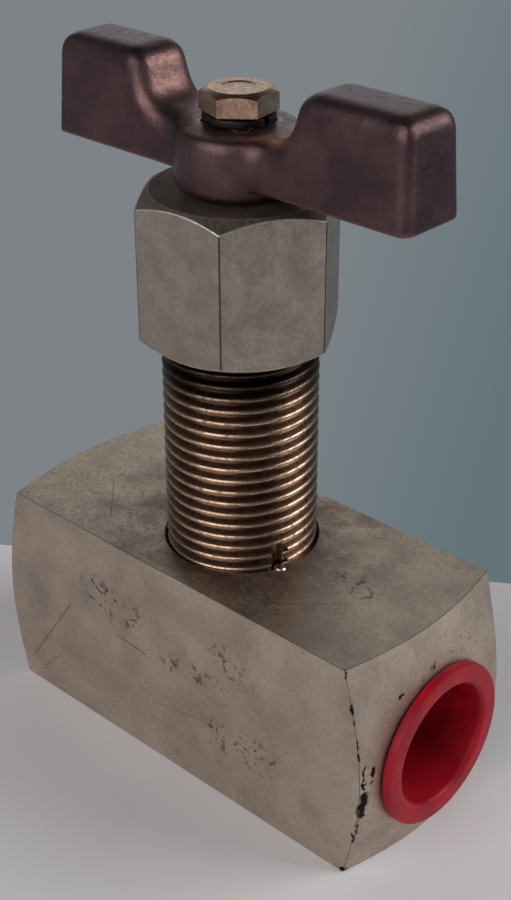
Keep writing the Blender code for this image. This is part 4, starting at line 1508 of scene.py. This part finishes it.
@dataclass
class Studio:
    """Pale table, soft grey-blue surroundings, large soft lights and the camera."""

    camera_place: Tuple[float, float, float] = (0.1340, -0.1413, 0.1586)
    camera_forward: Tuple[float, float, float] = (-0.5926, 0.6381, -0.4916)
    camera_roll: float = math.radians(-0.12)
    lens: float = 61.56
    wall_start: Point = (-67.5 * MM, 5.5 * MM)
    wall_end: Point = (10.0 * MM, 59.5 * MM)
    reach: float = 1.2

    def add_floor(self) -> Piece:
        """Lay a pale table whose far edge runs behind the valve.

        Returns:
            The table.
        """
        start, end = Vector((*self.wall_start, 0)), Vector((*self.wall_end, 0))
        along = (end - start).normalized()
        towards = Vector((along.y, -along.x, 0))
        middle = (start + end) / 2 + towards * self.reach / 2
        deselect()
        bpy.ops.mesh.primitive_plane_add(size=1.0, location=(middle.x, middle.y, -0.02 * MM))
        floor = name_active("table")
        floor.scale = (2 * self.reach, self.reach, 1)
        floor.rotation_euler = (0, 0, math.atan2(along.y, along.x))
        fix_in_place(floor)
        material = bpy.data.materials.new("matt painted table")
        material.use_nodes = True
        tree = material.node_tree
        tree.nodes.clear()
        place = add_node(tree, "TexCoord").outputs["Object"]
        cloud = add_node(tree, "TexNoise", {"Vector": place, "Scale": per_mm(60), "Detail": 3.0})
        tone = lay_over(tree, colour("#e9e5e8"), cloud, "#dfdbde")
        shader = add_node(tree, "BsdfPrincipled",
                          {"Base Color": tone, "Roughness": 0.85, "Specular IOR Level": 0.2})
        add_node(tree, "OutputMaterial", {"Surface": shader})
        floor.data.materials.append(material)
        return floor

    def add_light(self, name: str, place: Sequence[float], target: Sequence[float], size: float,
                  power: float, tint: str = "#ffffff") -> None:
        """Add a large soft light that faces a target.

        Args:
            name: the light's name.
            place: where it stands.
            target: what it faces.
            size: side of its square.
            power: its watts.
            tint: its colour.
        """
        light = bpy.data.lights.new(name, "AREA")
        light.size = size
        light.energy = power
        light.color = colour(tint)[:3]
        lamp = bpy.data.objects.new(name, light)
        lamp.location = place
        facing = Vector(target) - Vector(place)
        lamp.rotation_euler = facing.to_track_quat("-Z", "Y").to_euler()
        bpy.context.scene.collection.objects.link(lamp)

    def add_surroundings(self) -> None:
        """Give the world its plain grey-blue."""
        world = bpy.data.worlds.new("soft room")
        bpy.context.scene.world = world
        world.use_nodes = True
        tree = world.node_tree
        tree.nodes.clear()
        towards = add_node(tree, "TexCoord").outputs["Generated"]
        right = add_node(tree, "VectorMath", (towards, (0.72, 0.67, -0.35)),
                         operation="DOT_PRODUCT")
        shaded = add_node(tree, "MapRange", (right, 0.17, 0.32, 0.0, 1.0))
        wall = lay_over(tree, colour("#7d8387"), shaded, "#63747a")
        rise = add_node(tree, "SeparateXYZ", (towards,)).outputs["Z"]
        ceiling = add_node(tree, "MapRange", (rise, 0.35, 0.8, 0.0, 1.0))
        room = lay_over(tree, wall, ceiling, "#2c2a29")
        sky = add_node(tree, "Background", {"Color": room, "Strength": 1.0})
        add_node(tree, "OutputWorld", {"Surface": sky})

    def add_camera(self) -> None:
        """Add the camera."""
        forward = Vector(self.camera_forward).normalized()
        side = forward.cross(Vector((0, 0, 1))).normalized()
        up = side.cross(forward)
        basis = Matrix((side, up, -forward)).transposed().to_4x4()
        camera = bpy.data.cameras.new("camera")
        camera.lens = self.lens
        camera.sensor_width = 36
        camera.clip_start = 0.01
        rig = bpy.data.objects.new("camera", camera)
        place = Matrix.Translation(self.camera_place)
        rig.matrix_world = place @ basis @ Matrix.Rotation(self.camera_roll, 4, "Z")
        bpy.context.scene.collection.objects.link(rig)
        bpy.context.scene.camera = rig

    def build(self) -> None:
        """Set the whole stage."""
        bpy.context.scene.view_settings.view_transform = "Standard"
        self.add_floor()
        self.add_surroundings()
        self.add_light("key", (0.50, 0.40, 0.42), (0, 0, 0.03), 0.45, 2.9)
        self.add_light("fill", (0.02, -0.85, 0.55), (0, 0, 0.02), 0.9, 5.8)
        self.add_light("wall glow", (-0.60, 0.62, 0.45), (0, 0, 0.03), 0.7, 0.8)
        self.add_camera()


def main() -> None:
    """Build every sub-assembly and the stage."""
    Studio().build()
    ValveBody().build()
    Bonnet().build()
    PackingNut().build()
    Handle().build()
    screw = HandleScrew()
    screw.build_head()
    screw.build_washer()
    PortCap("inlet_port_cap", -1, Body.INLET_CAP).build()
    PortCap("outlet_port_cap", 1, Body.OUTLET_CAP).build()
    for name, finish in INNER_FINISHES.items():
        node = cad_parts[name]
        for place in node.material_slots:
            place.material = finish.material()
        log.info("%s: CAD node finished as %s", name, finish.name)


if __name__ == "__main__":
    main()
